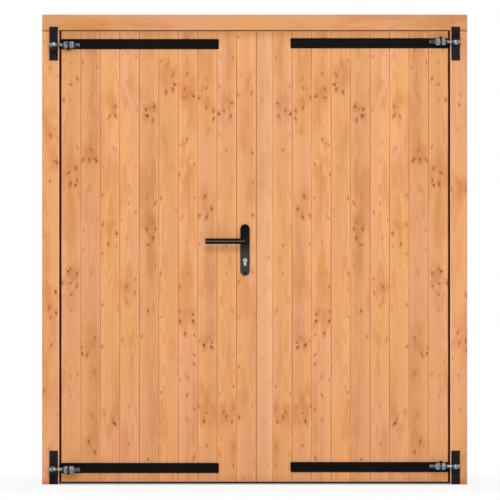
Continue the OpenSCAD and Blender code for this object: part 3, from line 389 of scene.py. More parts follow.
def branches(plank, cell, chance, whorls, more):
    """Where branches leave the plank: one place in each cell of this size, if its dice say so, and more often in
    a whorl. Towards the cell's border a mark fades."""
    shader = plank.shader
    point = shader.join(plank.side / cell[0], plank.run / cell[1], 0.0)
    dice = shader.cells(point)
    inside = (shader.cells(point, "F2").also("Distance") - dice.also("Distance")).ramp(0.0, 0.30)
    there, size, lean = shader.split(dice)
    mid_x, mid_z, _ = shader.split(dice.also("Position"))
    mid_side = mid_x * cell[0]
    mid_run = mid_z * cell[1]
    in_whorl = nearest(shader, mid_side, mid_run, whorls).ramp(0.036, 0.046, 1.0, 0.0) if whorls else 0.0
    present = (there + in_whorl * more).above(1.0 - chance)
    return plank.side - mid_side, plank.run - mid_run, present, inside, size, lean - 0.5, in_whorl


print("a knot's distance counts", knot_reach, "times along the grain")


# %% Round knots and spikes
def knots(plank, cell, chance, whorls, small, large):
    """Round knots: their darkness, the halo round them, and how the grain bends."""
    dx, dz, present, inside, size, lean, in_whorl = branches(plank, cell, chance, whorls, 0.42)
    radius = present * (size * size * (large - small) + in_whorl * 0.36 * large + small)
    ragged = plank.noise(260.0, 160.0) - 0.5
    wide = dx + dz * lean * 0.9
    away = (wide * wide + dz * dz * 0.62).root() * (1.0 + ragged * 0.7)
    safe = radius.most(0.0004)
    year = (away / 0.0009).fract().ramp(0.3, 1.0, 1.0, 0.72)
    core = (away / safe).ramp(0.60, 1.25, 1.0, 0.0) * present * (lean * 0.5 + 0.75) * year
    core = core * (inside * 4.0).least(1.0)
    flame = (wide * wide + dz * dz * 0.16).root()
    halo = (flame / safe).ramp(0.6, 2.8, 1.0, 0.0) * present * inside
    bend = (away * away / (safe * safe * -3.0)).exp() * present * inside
    return core, halo, dx * bend


def spikes(plank, whorls):
    """Branches that the saw met lengthwise: dark spikes that slant across the board."""
    dx, dz, present, inside, size, lean, _ = branches(plank, (0.060, 0.110), 0.008, whorls, 0.38)
    ragged = plank.noise(90.0, 160.0) - 0.5
    across = dx / (size * 0.007 + 0.008)
    along = (dz - dx * lean * 1.4) / (size * 0.003 + 0.0046)
    away = (across * across + along * along).root() * (1.0 + ragged * 1.2)
    return away.ramp(0.1, 1.5, 1.0, 0.0) * present * (inside * 4.0).least(1.0)


print("round knots and spikes can be made")

# %% [markdown]
# ### Rings and stain
# A growth ring darkens slowly through its year and is pale again at once. The rings are circles round a middle that
# lies behind the board and sways along it, so the face shows arches, and they bend round a knot.
# Each mark then takes the colour some way towards its own, one after the other, as glazes would.

# %% The growth rings
ring_width = 0.0031
middle_behind = 0.066


def late_wood(plank, bend):
    """How dark the year's ring is, from 0 to 1."""
    _, beside, deeper = plank.dice
    wander = plank.noise(0.6, 0.8, 1.0) - 0.5
    sway = plank.noise(1.3, 1.9, 1.0) - 0.5
    aside = plank.local - (beside - 0.5) * 0.09 + wander * 0.09 - bend * 0.8
    behind = plank.depth + deeper * 0.05 + middle_behind + sway * 0.03
    ripple = plank.noise(45.0, 3.0)
    rings = ((aside * aside + behind * behind).root() / ring_width + ripple * 0.9).fract()
    return rings.ramp(0.30, 0.88) * rings.ramp(0.92, 1.0, 1.0, 0.0)


print("rings", ring_width * 1000, "mm apart")

# %% The stain's colours, and how much each mark shows
pink_wood = screen(235, 168, 119)
gold_wood = screen(235, 169, 107)
marks = {
    "cloud": (0.56, (214, 138, 80)),
    "late wood": (0.30, (200, 118, 62)),
    "glow": (0.56, (208, 125, 72)),
    "blot": (1.0, (178, 102, 50)),
    "halo": (0.54, (196, 112, 54)),
    "spike": (0.80, (164, 90, 40)),
    "knot": (0.90, (106, 46, 16)),
    # Painted shade in the V and a painted highlight on the lit edge:
    "groove": (0.92, (140, 66, 24)),
    "lit edge": (0.55, (255, 206, 152)),
    "fresh": (1.0, (244, 194, 150)),
    "end_darkening": (1.0, (176, 98, 46)),
    # Painted shade at the post's joint under the head rail and a painted highlight on its inner edge:
    "seam_shade": (0.80, (128, 64, 26)),
    "arris_highlight": (0.55, (252, 208, 172)),
}


def drunk_in(plank, places):
    """Where the wood just over each whorl drank more of the stain."""
    lifted = [(side, run + 0.030) for side, run in places]
    glow = nearest(plank.shader, plank.side, plank.run, lifted).ramp(0.012, 0.070, 1.0, 0.0)
    return glow * plank.noise(26.0, 13.0).ramp(0.36, 0.64)


print("marks:", ", ".join(marks))

# %% [markdown]
# ### Edges and ends
# A painted shade darkens the V cut at a board's side, and a painted highlight lies on its other, rounded edge.
# A board is darker towards its head and foot.

# %% Grooves and darker ends
groove_seed = 31.7


def board_edges(plank):
    """Painted shade in the V at one edge, a painted highlight on the other, and painted shade across the face."""
    edge = plank.local + plank.width / 2
    other_edge = plank.width / 2 - plank.local
    fill, _, _ = plank.shader.dice(plank.number + groove_seed)
    # Painted shade darkens the V, more on some boards and in patches; the other edge gets a painted highlight.
    groove_shade_strength = plank.noise(0.2, 2.6, 1.0).ramp(0.35, 0.6)
    groove = edge.ramp(0.0018, 0.0036, 1.0, 0.0) * (fill * 0.55 + groove_shade_strength * 0.40 + 0.05)
    lit = other_edge.ramp(0.0018, 0.0054, 1.0, 0.0)
    # Painted shade across the face: darker in its middle than at its edges, as a rounded board is lit.
    rounding = edge.ramp(0.0, 0.045, 0.085, 0.0) + other_edge.ramp(0.0, 0.035, 0.045, 0.0) - 0.055
    return groove, lit, rounding


def darker_ends(plank, foot, head, foot_share, head_share=0.42):
    """How much darker the wood is made near the heights of its foot and head."""
    uneven = (plank.noise(70.0, 9.0) - 0.5) * 0.05
    at_head = (head - plank.along + uneven).ramp(0.0, 0.050, head_share, 0.0)
    return at_head.most((plank.along - foot + uneven).ramp(0.0, 0.045, foot_share, 0.0))


print("grooves and wet ends can be made")

# %% [markdown]
# ### The whole finish
# On a plank's edges the face's knots would be drawn out into bars, so other knots are placed there by depth.

# %% Timber
edge_gap = 7.7


def timber(
    name, grain, width, start, last=None, mirror=1, seed=0.0, whorls=(), lighter=None, grooves=False, knotty=1.0,
    end_darkening=None, seam_shade=None, arris_highlight=None, base=1.0,
):
    """Stained softwood in planks of one width, from a start across the grain to the last plank's number.
    The ends are made darker at given heights and shares, a painted shade lies below the height of the post's joint,
    and a painted highlight lies on an edge from this far to the sides."""
    shader = Shader(name)
    along, across, at_end, at_edge = laid(shader, grain, mirror)
    plank = Plank(shader, along, across, shader.y, width, start, last, seed)
    plank.side = plank.side + at_edge.abs().above(0.7) * (shader.y + edge_gap - plank.side)
    places = [(n * plank_gap + seed, height + n * plank_slip) for n, height in whorls]
    core, halo, bend = knots(plank, (0.031, 0.048), 0.070 * knotty, places, 0.0020, 0.0047)
    spot, blot, _ = knots(plank, (0.071, 0.170), 0.50 * knotty, (), 0.0032, 0.0078)
    late = late_wood(plank, bend)
    broad = plank.noise(15.0, 0.8) - 0.5
    streak = plank.noise(170.0, 1.6) - 0.5
    fibre = plank.noise(900.0, 14.0)

    groove, lit, rounding = board_edges(plank) if grooves else (None, None, 0.0)
    layers = {
        "cloud": plank.noise(17.0, 4.2).ramp(0.48, 0.70),
        "late wood": late * (broad + 0.75),
        "glow": drunk_in(plank, places) if places else None,
        "blot": blot * 0.20 + spot * 0.30,
        "halo": halo,
        "spike": spikes(plank, places) if knotty >= 1.0 else None,
        "knot": core,
        # Painted shade in the V and a painted highlight on the lit edge:
        "groove": groove,
        "lit edge": lit,
        "fresh": lighter,
        "end_darkening": darker_ends(plank, *end_darkening) if end_darkening else None,
        # Painted shade at the joint under the head rail, and a painted highlight on the posts' inner edge.
        "seam_shade": (seam_shade - shader.z).ramp(0.0015, 0.0085, 1.0, 0.0) if seam_shade else None,
        "arris_highlight": (shader.x.abs() - arris_highlight).ramp(0.0015, 0.0065, 1.0, 0.0) if arris_highlight else None,
    }
    colour = shader.mix(plank.noise(7.0, 1.8, 1.0).ramp(0.35, 0.65), pink_wood, gold_wood)
    for mark, mask in layers.items():
        if mask is not None:
            share, tint = marks[mark]
            colour = shader.mix(mask * share, colour, screen(*tint))

    own_tone = plank.dice[0] - 0.5
    tone = own_tone * 0.08 + broad * 0.30 + streak * 0.12 + (fibre - 0.5) * 0.14 + base + rounding
    pores = shader.noise(shader.place, 1400.0, 2.0).ramp(0.35, 0.60, 0.62, 0.84)
    end_grain = at_end.abs().ramp(0.6, 0.9)
    return shader.finish(
        Base_Color=shader.scaled(colour, tone * (1.0 - end_grain * (1.0 - pores))),
        Roughness=fibre * 0.12 + 0.46 - core * 0.1,
        Normal=shader.bump(late * 0.4 + fibre * 0.5 - core * 0.3, depth=0.0005, strength=0.5),
        Specular_IOR_Level=0.2,
    )


print("an edge's knots lie", edge_gap, "m from the face's")

# %% [markdown]
# The whorls are the clusters of knots that catch the eye first, so their places are chosen: the board, counted
# from the hinge side, and the height in metres. The right leaf shows the same boards the other way round.

# %% Board finishes
main_whorls = (
    (0, 1.387), (0, 0.909), (1, 1.441), (1, 0.615), (1, 0.176), (2, 1.651), (2, 1.128), (2, 0.270),
    (3, 0.869), (4, 1.642), (4, 1.110), (5, 1.803), (6, 1.752), (6, 1.383), (6, 0.726), (7, 1.700),
    (7, 1.245), (7, 0.655), (7, 0.324), (8, 1.660), (8, 0.306), (9, 1.772),
)
board_low, board_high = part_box("left_boards")
leaf_boards = {
    "grain": "upright", "width": 0.087, "start": board_low.x, "last": 9, "grooves": True,
    "end_darkening": (board_low.z, board_high.z, 0.20),
}
left_board_wood = timber("stained_left_boards", whorls=main_whorls, **leaf_boards)
right_board_wood = timber("stained_right_boards", whorls=main_whorls, mirror=-1, **leaf_boards)
meeting_board_wood = timber("stained_meeting_board", mirror=-1, seed=57.0, lighter=0.30, **leaf_boards)
print("whorls in each leaf:", len(main_whorls))

# %% Frame and back finishes
post_low, post_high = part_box("right_post")
post_planks = {"width": post_low.x + post_high.x, "start": -(post_low.x + post_high.x)}
# The posts carry painted shade at the joint under the head rail and a painted highlight on their inner edge.
post_wood = timber(
    "stained_posts", "upright", **post_planks, seed=11.0, base=1.05, seam_shade=post_high.z, arris_highlight=post_low.x,
    whorls=((0, 1.580), (0, 1.420), (0, 0.815), (1, 1.300), (1, 0.640)), end_darkening=(0.0, post_high.z + 1.0, 0.60),
)
head_wood = timber("stained_head", "level", width=0.2, start=1.965, seed=23.0, knotty=0.4, base=0.91)
stop_wood = timber("stained_side_stops", "upright", **post_planks, seed=35.0)
head_stop_wood = timber("stained_head_stop", "level", width=0.2, start=1.9, seed=41.0)
stile_wood = timber("stained_stiles", "upright", width=0.45, start=-1.359, seed=3.0)
rail_wood = timber("stained_rails", "level", width=0.31, start=0.0, seed=71.0)
braces = {"grain": math.radians(51.5), "width": 0.5, "start": -1.2}
left_brace_wood = timber("stained_left_braces", **braces, seed=83.0)
right_brace_wood = timber("stained_right_braces", **braces, mirror=-1, seed=97.0)
print("finishes so far:", len(bpy.data.materials))

# %% [markdown]
# ## Black powder coat
# Straps, plates and slide bolts are steel under baked black powder. It is never pure black: it has a fine
# orange-peel skin and faint cloudy patches, and it is so matt that the white room hardly shows in it.
# The handle's skin is silkier. Its plate turns a dark grey-green low down, a painted reflection, and each lever has
# a painted highlight line along its middle.
# The threshold is black above a grey foot.

# %% Powder coats
def powder_black(name, dark, light, rough, shine, paler_below=(), below_colour=None, highlight_line=None):
    """Black powder, another colour below some heights, and a painted highlight line at a height, up to an X."""
    shader = Shader(name)
    cloud = shader.noise(shader.place, 16.0, 3.0).ramp(0.35, 0.68)
    peel = shader.noise(shader.place, 850.0, 2.0)
    colour = shader.mix(cloud, screen(*dark), screen(*light))
    smear = (shader.noise(shader.place, 55.0, 2.0) - 0.5) * 0.02
    for high, low, share in paler_below:
        level = shader.z + smear if high - low > 0.01 else shader.z
        colour = shader.mix(level.ramp(low, high, share, 0.0), colour, screen(*below_colour))
    if highlight_line:
        # A painted highlight line, which ends at an X.
        line = (shader.z - highlight_line[0]).abs().ramp(0.0006, 0.0030, 0.85, 0.0)
        line = line * (shader.x - highlight_line[1]).ramp(-0.004, 0.002, 1.0, 0.0)
        colour = shader.mix(line, colour, screen(104, 104, 99))
    return shader.finish(
        Base_Color=colour,
        Roughness=cloud * 0.08 + peel * 0.06 + rough,
        Normal=shader.bump(peel, 0.00025, 0.35),
        Specular_IOR_Level=shine,
    )


strap_black = powder_black("powder_black_straps", (11, 8, 7), (18, 15, 14), rough=0.55, shine=0.05)
# The plates' black is lighter and purplish, a painted sheen.
plate_black = powder_black("powder_black_plates", (22, 19, 23), (36, 32, 37), rough=0.5, shine=0.08)
plate_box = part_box("outer_handle_plate")
plate_top = plate_box[1].z
# Painted reflection: the plate turns a dark grey-green below its top.
handle_reflection = ((plate_top - 0.02, plate_top - 0.10, 0.35), (plate_top - 0.08, plate_top - 0.14, 0.9))
handle_black = powder_black(
    "silk_black_handle", (7, 5, 2), (14, 11, 7), rough=0.46, shine=0.04, paler_below=handle_reflection, below_colour=(60, 65, 59),
)
lever_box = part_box("outer_lever")
# Painted highlight: a grey line along the middle of each lever, up to the plate's middle.
lever_black = powder_black(
    "silk_black_levers", (16, 14, 9), (26, 24, 18), rough=0.42, shine=0.05,
    highlight_line=((lever_box[0].z + lever_box[1].z) / 2, (plate_box[0].x + plate_box[1].x) / 2),
)
sill_grey_foot = ((0.0066, 0.0054, 0.95),)
sill_black = powder_black(
    "black_threshold", (14, 12, 11), (22, 20, 19), rough=0.55, shine=0.08, paler_below=sill_grey_foot, below_colour=(156, 150, 146),
)
print("black finishes:", strap_black.name, handle_black.name, sill_black.name)

# %% [markdown]
# ## Bright metal
# The eyebolts and nuts are zinc plated: a cool grey with cloudy patches and fine scratches, rough enough to blur
# the room. The key cylinder is nickel plated, which is warmer and smoother.

# %% Zinc and nickel
def plated(name, dark, light, rough, brushed):
    """Bright plating between two colours, with scratches that run along X."""
    shader = Shader(name)
    cloud = shader.noise(shader.place, 110.0, 3.0).ramp(0.32, 0.68)
    scratch = shader.noise(shader.join(shader.x * 90.0, shader.y * 900.0, shader.z * 900.0), 1.0, 2.0)
    grit = shader.noise(shader.place, 1500.0, 2.0)
    return shader.finish(
        Base_Color=shader.mix(cloud, screen(*dark), screen(*light)),
        Metallic=1.0,
        Roughness=cloud * 0.10 + scratch * brushed + rough,
        Normal=shader.bump(grit + scratch * 0.5, 0.0001, 0.3),
    )


zinc = plated("bright_zinc", (88, 94, 101), (156, 162, 170), rough=0.11, brushed=0.12)
nickel = plated("bright_nickel", (90, 94, 88), (120, 123, 117), rough=0.14, brushed=0.10)
print("bright finishes:", zinc.name, nickel.name)

# %% [markdown]
# ## Rubber seals
# The seals in the gaps are dull black rubber, a little dusty. The one over the leaves is brown, a painted shade
# that stands for wood in shade in the head's gap, and since all of them are one piece, its colour goes by height.

# %% Rubber
shader = Shader("black_rubber_seal")
seal_dust = shader.noise(shader.place, 60.0, 3.0)
seal_black = shader.mix(seal_dust, screen(5, 3, 3), screen(16, 12, 11))
head_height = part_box("head_rail")[0].z
# Painted shade: the seal over the leaves is brown, for wood in shade in the head's gap.
head_gap_shade = shader.z.ramp(head_height - 0.05, head_height - 0.04)
seal_rubber = shader.finish(
    Base_Color=shader.mix(head_gap_shade, seal_black, screen(150, 76, 26)),
    Roughness=seal_dust * 0.2 + 0.6,
    Normal=shader.bump(shader.noise(shader.place, 700.0), 0.0002, 0.3),
    Specular_IOR_Level=0.05,
)
print("seals turn brown above", round(head_height - 0.045, 3))

# %% [markdown]
# ## Dressing the plain gate
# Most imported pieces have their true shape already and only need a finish. One table says which gets which, and
# its names are checked against the model's.

# %% Give every node its finish
def both(*names):
    """The left and the right one of each name."""
    return tuple(side + name for name in names for side in ("left_", "right_"))


finish_of = {
    post_wood: both("post"),
    head_wood: ("head_rail",),
    stop_wood: both("stop"),
    head_stop_wood: ("head_stop",),
    seal_rubber: ("stop_seals", "meeting_seal"),
    sill_black: ("threshold_bar",),
    left_board_wood: ("left_boards", "left_lapping_board"),
    right_board_wood: ("right_boards",),
    meeting_board_wood: ("right_meeting_board",),
    stile_wood: (*both("hinge_stile"), "left_lock_stile", "right_meeting_stile"),
    rail_wood: both("top_rail", "middle_rail", "bottom_rail"),
    left_brace_wood: ("left_braces",),
    right_brace_wood: ("right_braces",),
    strap_black: (
        *both("straps", "strap_bolts"), "slide_bolt_housings", "slide_bolt_screws", "top_slide_bolt",
        "bottom_slide_bolt",
    ),
    plate_black: (*both("pin_plates"), "pin_plate_screws"),
    handle_black: ("outer_handle_plate", "inner_handle_plate", "handle_plate_bolts"),
    lever_black: ("outer_lever", "inner_lever"),
    zinc: (
        *both("eyebolts", "eye_nuts"), "frame_screws", "hinge_pins", "lock_case", "lock_cover", "lock_faceplate",
        "faceplate_screws", "latch_spring", "strike_plate", "strike_plate_screws", "spindle", "follower",
        "latch_bolt", "dead_bolt",
    ),
    nickel: ("cylinder_body", "cylinder_plug"),
}
for finish, names in finish_of.items():
    for name in names:
        nodes[name].data.materials.clear()
        nodes[name].data.materials.append(finish)
dressed = {name for names in finish_of.values() for name in names}
print("nodes without a finish:", sorted(set(nodes) - dressed))

# %% [markdown]
# ## Shaping metal by hand
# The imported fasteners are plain: smooth rods, sharp hexagons, flat heads. A turned part is made here as a lathe
# would make it: a disc is extruded along X and scaled at every step, so each edge gets its own rounding, where a
# bevel would round them all alike. Sockets, bores and flats are cut with a Boolean modifier. Each kind is modelled
# once, at the origin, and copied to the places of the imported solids.

# %% Read the places of the plain solids
def alone(piece):
    """Selects this piece only and makes it the active one."""
    bpy.ops.object.select_all(action="DESELECT")
    piece.select_set(True)
    bpy.context.view_layer.objects.active = piece


def edit_all():
    """Into edit mode with all of the active piece selected."""
    bpy.ops.object.mode_set(mode="EDIT")
    bpy.ops.mesh.select_all(action="SELECT")


def solids(node):
    """The boxes of a CAD node's separate solids, read from a merged copy that is then deleted."""
    copy = nodes[node].copy()
    copy.data = nodes[node].data.copy()
    bpy.context.collection.objects.link(copy)
    alone(copy)
    edit_all()
    bpy.ops.mesh.remove_doubles(threshold=0.000001)
    bpy.ops.mesh.separate(type="LOOSE")
    bpy.ops.object.mode_set(mode="OBJECT")
    boxes = []
    for part in list(bpy.context.selected_objects):
        axes = list(zip(*(vertex.co for vertex in part.data.vertices)))
        boxes.append((Vector([min(axis) for axis in axes]), Vector([max(axis) for axis in axes])))
        bpy.data.objects.remove(part)
    return sorted(boxes, key=lambda box: tuple(box[0]))


print("eyebolts in a leaf:", len(solids("left_eyebolts")))


# %% Helpers for a turned part
def start(add, name, turn=(0, 0, 0), **settings):
    """A new primitive, alone in edit mode and selected all over, with its place in its mesh."""
    bpy.ops.object.select_all(action="DESELECT")
    add(rotation=turn, **settings)
    piece = bpy.context.object
    piece.name = name
    bpy.ops.object.transform_apply(location=True, rotation=True, scale=True)
    edit_all()
    return piece


def pick(kind, test):
    """In edit mode, selects the vertices or faces whose place and normal pass a test."""
    bpy.ops.mesh.select_mode(type=kind)
    bpy.ops.mesh.select_all(action="DESELECT")
    mesh = bpy.context.object.data
    shape = bmesh.from_edit_mesh(mesh)
    for part in shape.verts if kind == "VERT" else shape.faces:
        place = part.co if kind == "VERT" else part.calc_center_median()
        if test(place, part.normal):
            part.select_set(True)
    bmesh.update_edit_mesh(mesh)


def closed(piece, sharp_from=25):
    """Out of edit mode, with doubles merged, faces outwards, and edges sharp from this angle in degrees."""
    bpy.ops.object.mode_set(mode="OBJECT")
    alone(piece)
    edit_all()
    bpy.ops.mesh.remove_doubles(threshold=0.00001)
    bpy.ops.mesh.normals_make_consistent(inside=False)
    bpy.ops.object.mode_set(mode="OBJECT")
    bpy.ops.object.shade_smooth_by_angle(angle=math.radians(sharp_from))
    return piece


def turned(name, sections, sides=48):
    """A round solid along X from (place, radius) sections: a disc, extruded and scaled to each next one."""
    place, radius = sections[0]
    piece = start(
        bpy.ops.mesh.primitive_circle_add, name, (0, math.pi / 2, 0),
        vertices=sides, radius=radius, fill_type="NGON", location=(place, 0, 0),
    )
    for next_place, next_radius in sections[1:]:
        bpy.ops.mesh.extrude_region_move(TRANSFORM_OT_translate={"value": (next_place - place, 0, 0)})
        share = next_radius / radius
        bpy.ops.transform.resize(value=(1, share, share), center_override=(next_place, 0, 0))
        place, radius = next_place, next_radius
    return closed(piece)


def combine(piece, tool, operation="DIFFERENCE"):
    """Cuts the tool away from a piece, or keeps or adds what it shares; the tool is used up."""
    alone(piece)
    bpy.ops.object.modifier_add(type="BOOLEAN")
    modifier = piece.modifiers[-1]
    modifier.operation = operation
    modifier.solver = "EXACT"
    modifier.object = tool
    bpy.ops.object.modifier_apply(modifier=modifier.name)
    bpy.data.objects.remove(tool)
    return closed(piece)


def settle(piece, place=(0, 0, 0), turn=(0, 0, 0)):
    """Moves and turns a piece in its mesh, so that its object stays at the origin."""
    alone(piece)
    piece.location = place
    piece.rotation_euler = turn
    bpy.ops.object.transform_apply(location=True, rotation=True, scale=True)
    return piece


def joined(name, *parts):
    """Several parts as one piece."""
    alone(parts[0])
    for part in parts[1:]:
        part.select_set(True)
    bpy.ops.object.join()
    parts[0].name = name
    return parts[0]


def placed(master, name, place, turn, body, finish, node=None):
    """A copy with its own mesh, in its place, that rides on a body and may stand for a CAD node."""
    alone(master)
    bpy.ops.object.duplicate(linked=False)
    piece = settle(bpy.context.object, place, turn)
    piece.name = name
    piece.data.materials.append(finish)
    if node:
        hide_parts(node)
    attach(piece, body)


def measured(piece):
    """Prints a piece's size and faces."""
    size = [round(v * 1000, 1) for v in piece.dimensions]
    print(piece.name, size, "mm,", len(piece.data.polygons), "faces")


print("shaping helpers are ready")

# %% [markdown]
# ## Eyebolts and their nuts
# The bolt's eye is forged: its rim is rounded where the die closed on it. The rod has a real thread: one pitch of
# its profile is swept round the axis by a Screw modifier, merged into one skin, trimmed with two cuts, and given
# the small cone that starts a nut.

# %% A real thread
def wound(piece, pitch, turns, steps):
    """Sweeps a profile, in edit mode, round the X axis, one pitch further with each turn."""
    bpy.ops.object.mode_set(mode="OBJECT")
    bpy.ops.object.modifier_add(type="SCREW")
    sweep = piece.modifiers[-1]
    sweep.axis = "X"
    sweep.screw_offset = pitch
    sweep.iterations = turns
    sweep.steps = sweep.render_steps = steps
    bpy.ops.object.modifier_apply(modifier=sweep.name)
    return closed(piece)


def threaded(name, first, last, crest, root, pitch, sides=24):
    """A screw thread along X between two places, with a cone at its far end."""
    piece = start(
        bpy.ops.mesh.primitive_plane_add, name, size=pitch, location=(first - pitch, root + pitch / 2, 0),
    )
    pick("VERT", lambda place, normal: place.y > root + pitch / 2)
    bpy.ops.mesh.delete(type="VERT")
    bpy.ops.mesh.select_all(action="SELECT")
    bpy.ops.mesh.subdivide(number_cuts=2)
    pick("VERT", lambda place, normal: abs(place.x - first + pitch) < pitch / 4)
    bpy.ops.transform.translate(value=(0, crest - root, 0))
    bpy.ops.transform.resize(value=(0.5, 1, 1), center_override=(first - pitch, crest, 0))
    wound(piece, pitch, math.ceil((last - first) / pitch) + 2, sides)
    edit_all()
    bpy.ops.mesh.bisect(plane_co=(first, 0, 0), plane_no=(1, 0, 0), clear_inner=True, use_fill=True)
    bpy.ops.mesh.select_all(action="SELECT")
    cone = 0.6 * pitch
    bpy.ops.mesh.bisect(plane_co=(last - cone, 0, 0), plane_no=(1, 0, 0), clear_outer=True, use_fill=True)
    pick("FACE", lambda place, normal: place.x > last - cone - 0.00001)
    bpy.ops.mesh.extrude_region_move(TRANSFORM_OT_translate={"value": (cone, 0, 0)})
    bpy.ops.transform.resize(value=(1, 0.84, 0.84), center_override=(last, 0, 0))
    return closed(piece)


# %% Nuts and washers
def bore_tool(first, last, radius, lead=0.0005):
    """What a drill and its countersink take away."""
    past = 0.001
    return turned("bore", (
        (first - past, radius + lead + past), (first + lead, radius), (last - lead, radius),
        (last + past, radius + lead + past),
    ))


def nut(name, first, depth, flats, bore):
    """A hexagon with flats above and below, its corners turned off at 30 degrees."""
    last = first + depth
    corner = flats / math.sqrt(3)
    face = 0.475 * flats
    rise = (corner - face) * math.tan(math.radians(30))
    piece = turned(name, ((first, corner), (last, corner)), sides=6)
    outside = corner * 1.01
    ends = ((first, face), (first + rise, outside), (last - rise, outside), (last, face))
    combine(piece, turned("envelope", ends, 64), "INTERSECT")
    return combine(piece, bore_tool(first, last, bore))


def washer(name, first, depth, outside, bore):
    """A pressed ring with rounded rims."""
    last = first + depth
    rim = depth / 5
    inside = outside - rim
    piece = turned(name, ((first, inside), (first + rim, outside), (last - rim, outside), (last, inside)))
    return combine(piece, bore_tool(first, last, bore, rim / 2))


print("nuts, washers and bores can be made")

# %% One eyebolt, with the pin's axis at the origin and the rod along X
eye_radius = 0.0195
eye_depth = 0.017
eye_bore = 0.00805
shank_radius = 0.0082
shank_end = 0.0395
rod_radius = 0.010
rod_root = 0.0085
rod_pitch = 0.0025
bolt_low, bolt_high = solids("left_eyebolts")[0]
rod_end = bolt_high.x - bolt_low.x - eye_radius
half = eye_depth / 2
along_z = (0, -math.pi / 2, 0)
forged_rim = ((0.40, 1.00), (0.72, 0.96), (0.92, 0.88), (1.00, 0.78))
eye_sections = [(-deep * half, wide * eye_radius) for deep, wide in reversed(forged_rim)]
eye_sections += [(deep * half, wide * eye_radius) for deep, wide in forged_rim]
eye = settle(turned("eyebolt", eye_sections), turn=along_z)
shank = turned("shank", (
    (0.0, shank_radius), (shank_end - 0.001, shank_radius), (shank_end, shank_radius - 0.0008),
    (shank_end + 0.002, rod_root - 0.0010),
))
combine(eye, shank, "UNION")
combine(eye, settle(bore_tool(-half, half, eye_bore, 0.0007), turn=along_z))
rod = threaded("rod", shank_end + 0.0005, rod_end, rod_radius, rod_root, rod_pitch)
eyebolt = joined("eyebolt", eye, rod)
measured(eyebolt)

# %% Its two nuts and the washer
near_nut_at = 0.046
lug_at = 0.064
lug_depth = 0.006
washer_depth = 0.003
washer_radius = 0.018
nut_depth = 0.018
nut_flats = 0.030
nut_bore = rod_radius + 0.0004
washer_at = lug_at + lug_depth
far_nut_at = washer_at + washer_depth
nuts = joined(
    "nuts",
    nut("near_nut", near_nut_at, nut_depth, nut_flats, nut_bore),
    washer("washer", washer_at, washer_depth, washer_radius, nut_bore),
    nut("far_nut", far_nut_at, nut_depth, nut_flats, nut_bore),
)
measured(nuts)

# %% [markdown]
# ## Welds
# The lug stands on the strap and the boss on its plate, and steel like that is welded. A bead is a row of small
# scales, one for each beat of the welder's hand, so the turned part's radius rises and falls.

# %% A bead of weld along Z
def weld(name, corner, low, high, radius):
    """A bead in the corner at these x and y, from one height to another."""
    beat = 0.0016
    scales = max(2, round((high - low) / beat))
    step = (high - low) / scales
    sections = [(0.0, 0.5 * radius)]
    for n in range(scales):
        sections += [((n + 0.30) * step, radius), ((n + 0.85) * step, 0.84 * radius)]
    sections.append((high - low, 0.4 * radius))
    return settle(turned(name, sections, 12), (*corner, low), along_z)


rod_middle = (bolt_low + bolt_high) / 2
strap_high = solids("left_straps")[0][1]
strap_depth = 0.005
strap_face = strap_high.y - strap_depth - rod_middle.y
lug_half = 0.024
bead_short = 0.001
lug_bead = (-lug_half + bead_short, lug_half - bead_short, 0.0022)
lug_sides = (lug_at, lug_at + lug_depth)
lug_welds = joined("lug_welds", *(weld("bead", (x, strap_face), *lug_bead) for x in lug_sides))
plate_high = solids("left_pin_plates")[0][1]
plate_depth = 0.006
plate_face = plate_high.y - plate_depth - rod_middle.y
boss_half = 0.013
boss_height = 0.016
boss_top = solids("hinge_pins")[0][0].z + boss_height - rod_middle.z
boss_bead = (boss_top - boss_height + bead_short, boss_top - bead_short, 0.0018)
boss_sides = (-boss_half, boss_half)
boss_welds = joined("boss_welds", *(weld("bead", (x, plate_face), *boss_bead) for x in boss_sides))
measured(lug_welds)
measured(boss_welds)

# %% Hang them at the four hinges
for word, turn in (("left", 0.0), ("right", math.pi)):
    leaf = word + "_leaf"
    kinds = (
        (eyebolt, "eyebolt", leaf, zinc, "zinc_plated_steel", word + "_eyebolts"),
        (nuts, "nuts", leaf, zinc, "zinc_plated_steel", word + "_eye_nuts"),
        (lug_welds, "lug_welds", leaf, strap_black, "black_coated_steel", None),
        (boss_welds, "boss_welds", "frame", plate_black, "black_coated_steel", None),
    )
    for low, high in solids(word + "_eyebolts"):
        centre = (low + high) / 2
        centre.x = high.x - eye_radius if turn else low.x + eye_radius
        hinge = word + ("_upper_" if low.z > gate_middle[2] else "_lower_")
        for master, kind, body, finish, slot, node in kinds:
            placed(master, hinge + kind, centre, (0, turn, 0), body, finish, node)
for master in (eyebolt, nuts, lug_welds, boss_welds):
    bpy.data.objects.remove(master)
print("pieces at each hinge:", len(kinds))

# %% [markdown]
# ## Screws and bolts
# A flat head without a recess could never have been driven. The wood screws get a cross recess, cut by two blades
# that narrow towards the point, and the bolts a hexagon socket. The sizes are read from the plain solid that each
# replaces, and a screw's shank is half its head.

# %% A countersunk screw and a socket, with the head's face at the origin
def blade(name, depth, reach, width, roll):
    """One arm of a cross recess."""
    past = 0.001
    tool = start(
        bpy.ops.mesh.primitive_cube_add, name, (roll, 0, 0), size=1,
        scale=(depth + past, reach, width), location=((depth - past) / 2, 0, 0),
    )
    pick("FACE", lambda place, normal: normal.x > 0.9)
    bpy.ops.transform.resize(value=(1, 0.5, 0.5), center_override=(depth, 0, 0))
    bpy.ops.object.mode_set(mode="OBJECT")
    return tool


screw_rim = 0.0003


def countersunk(head, shank):
    """The sections of a flat head of this radius."""
    return [(0.0, head - screw_rim), (screw_rim, head), (head - shank, shank)]


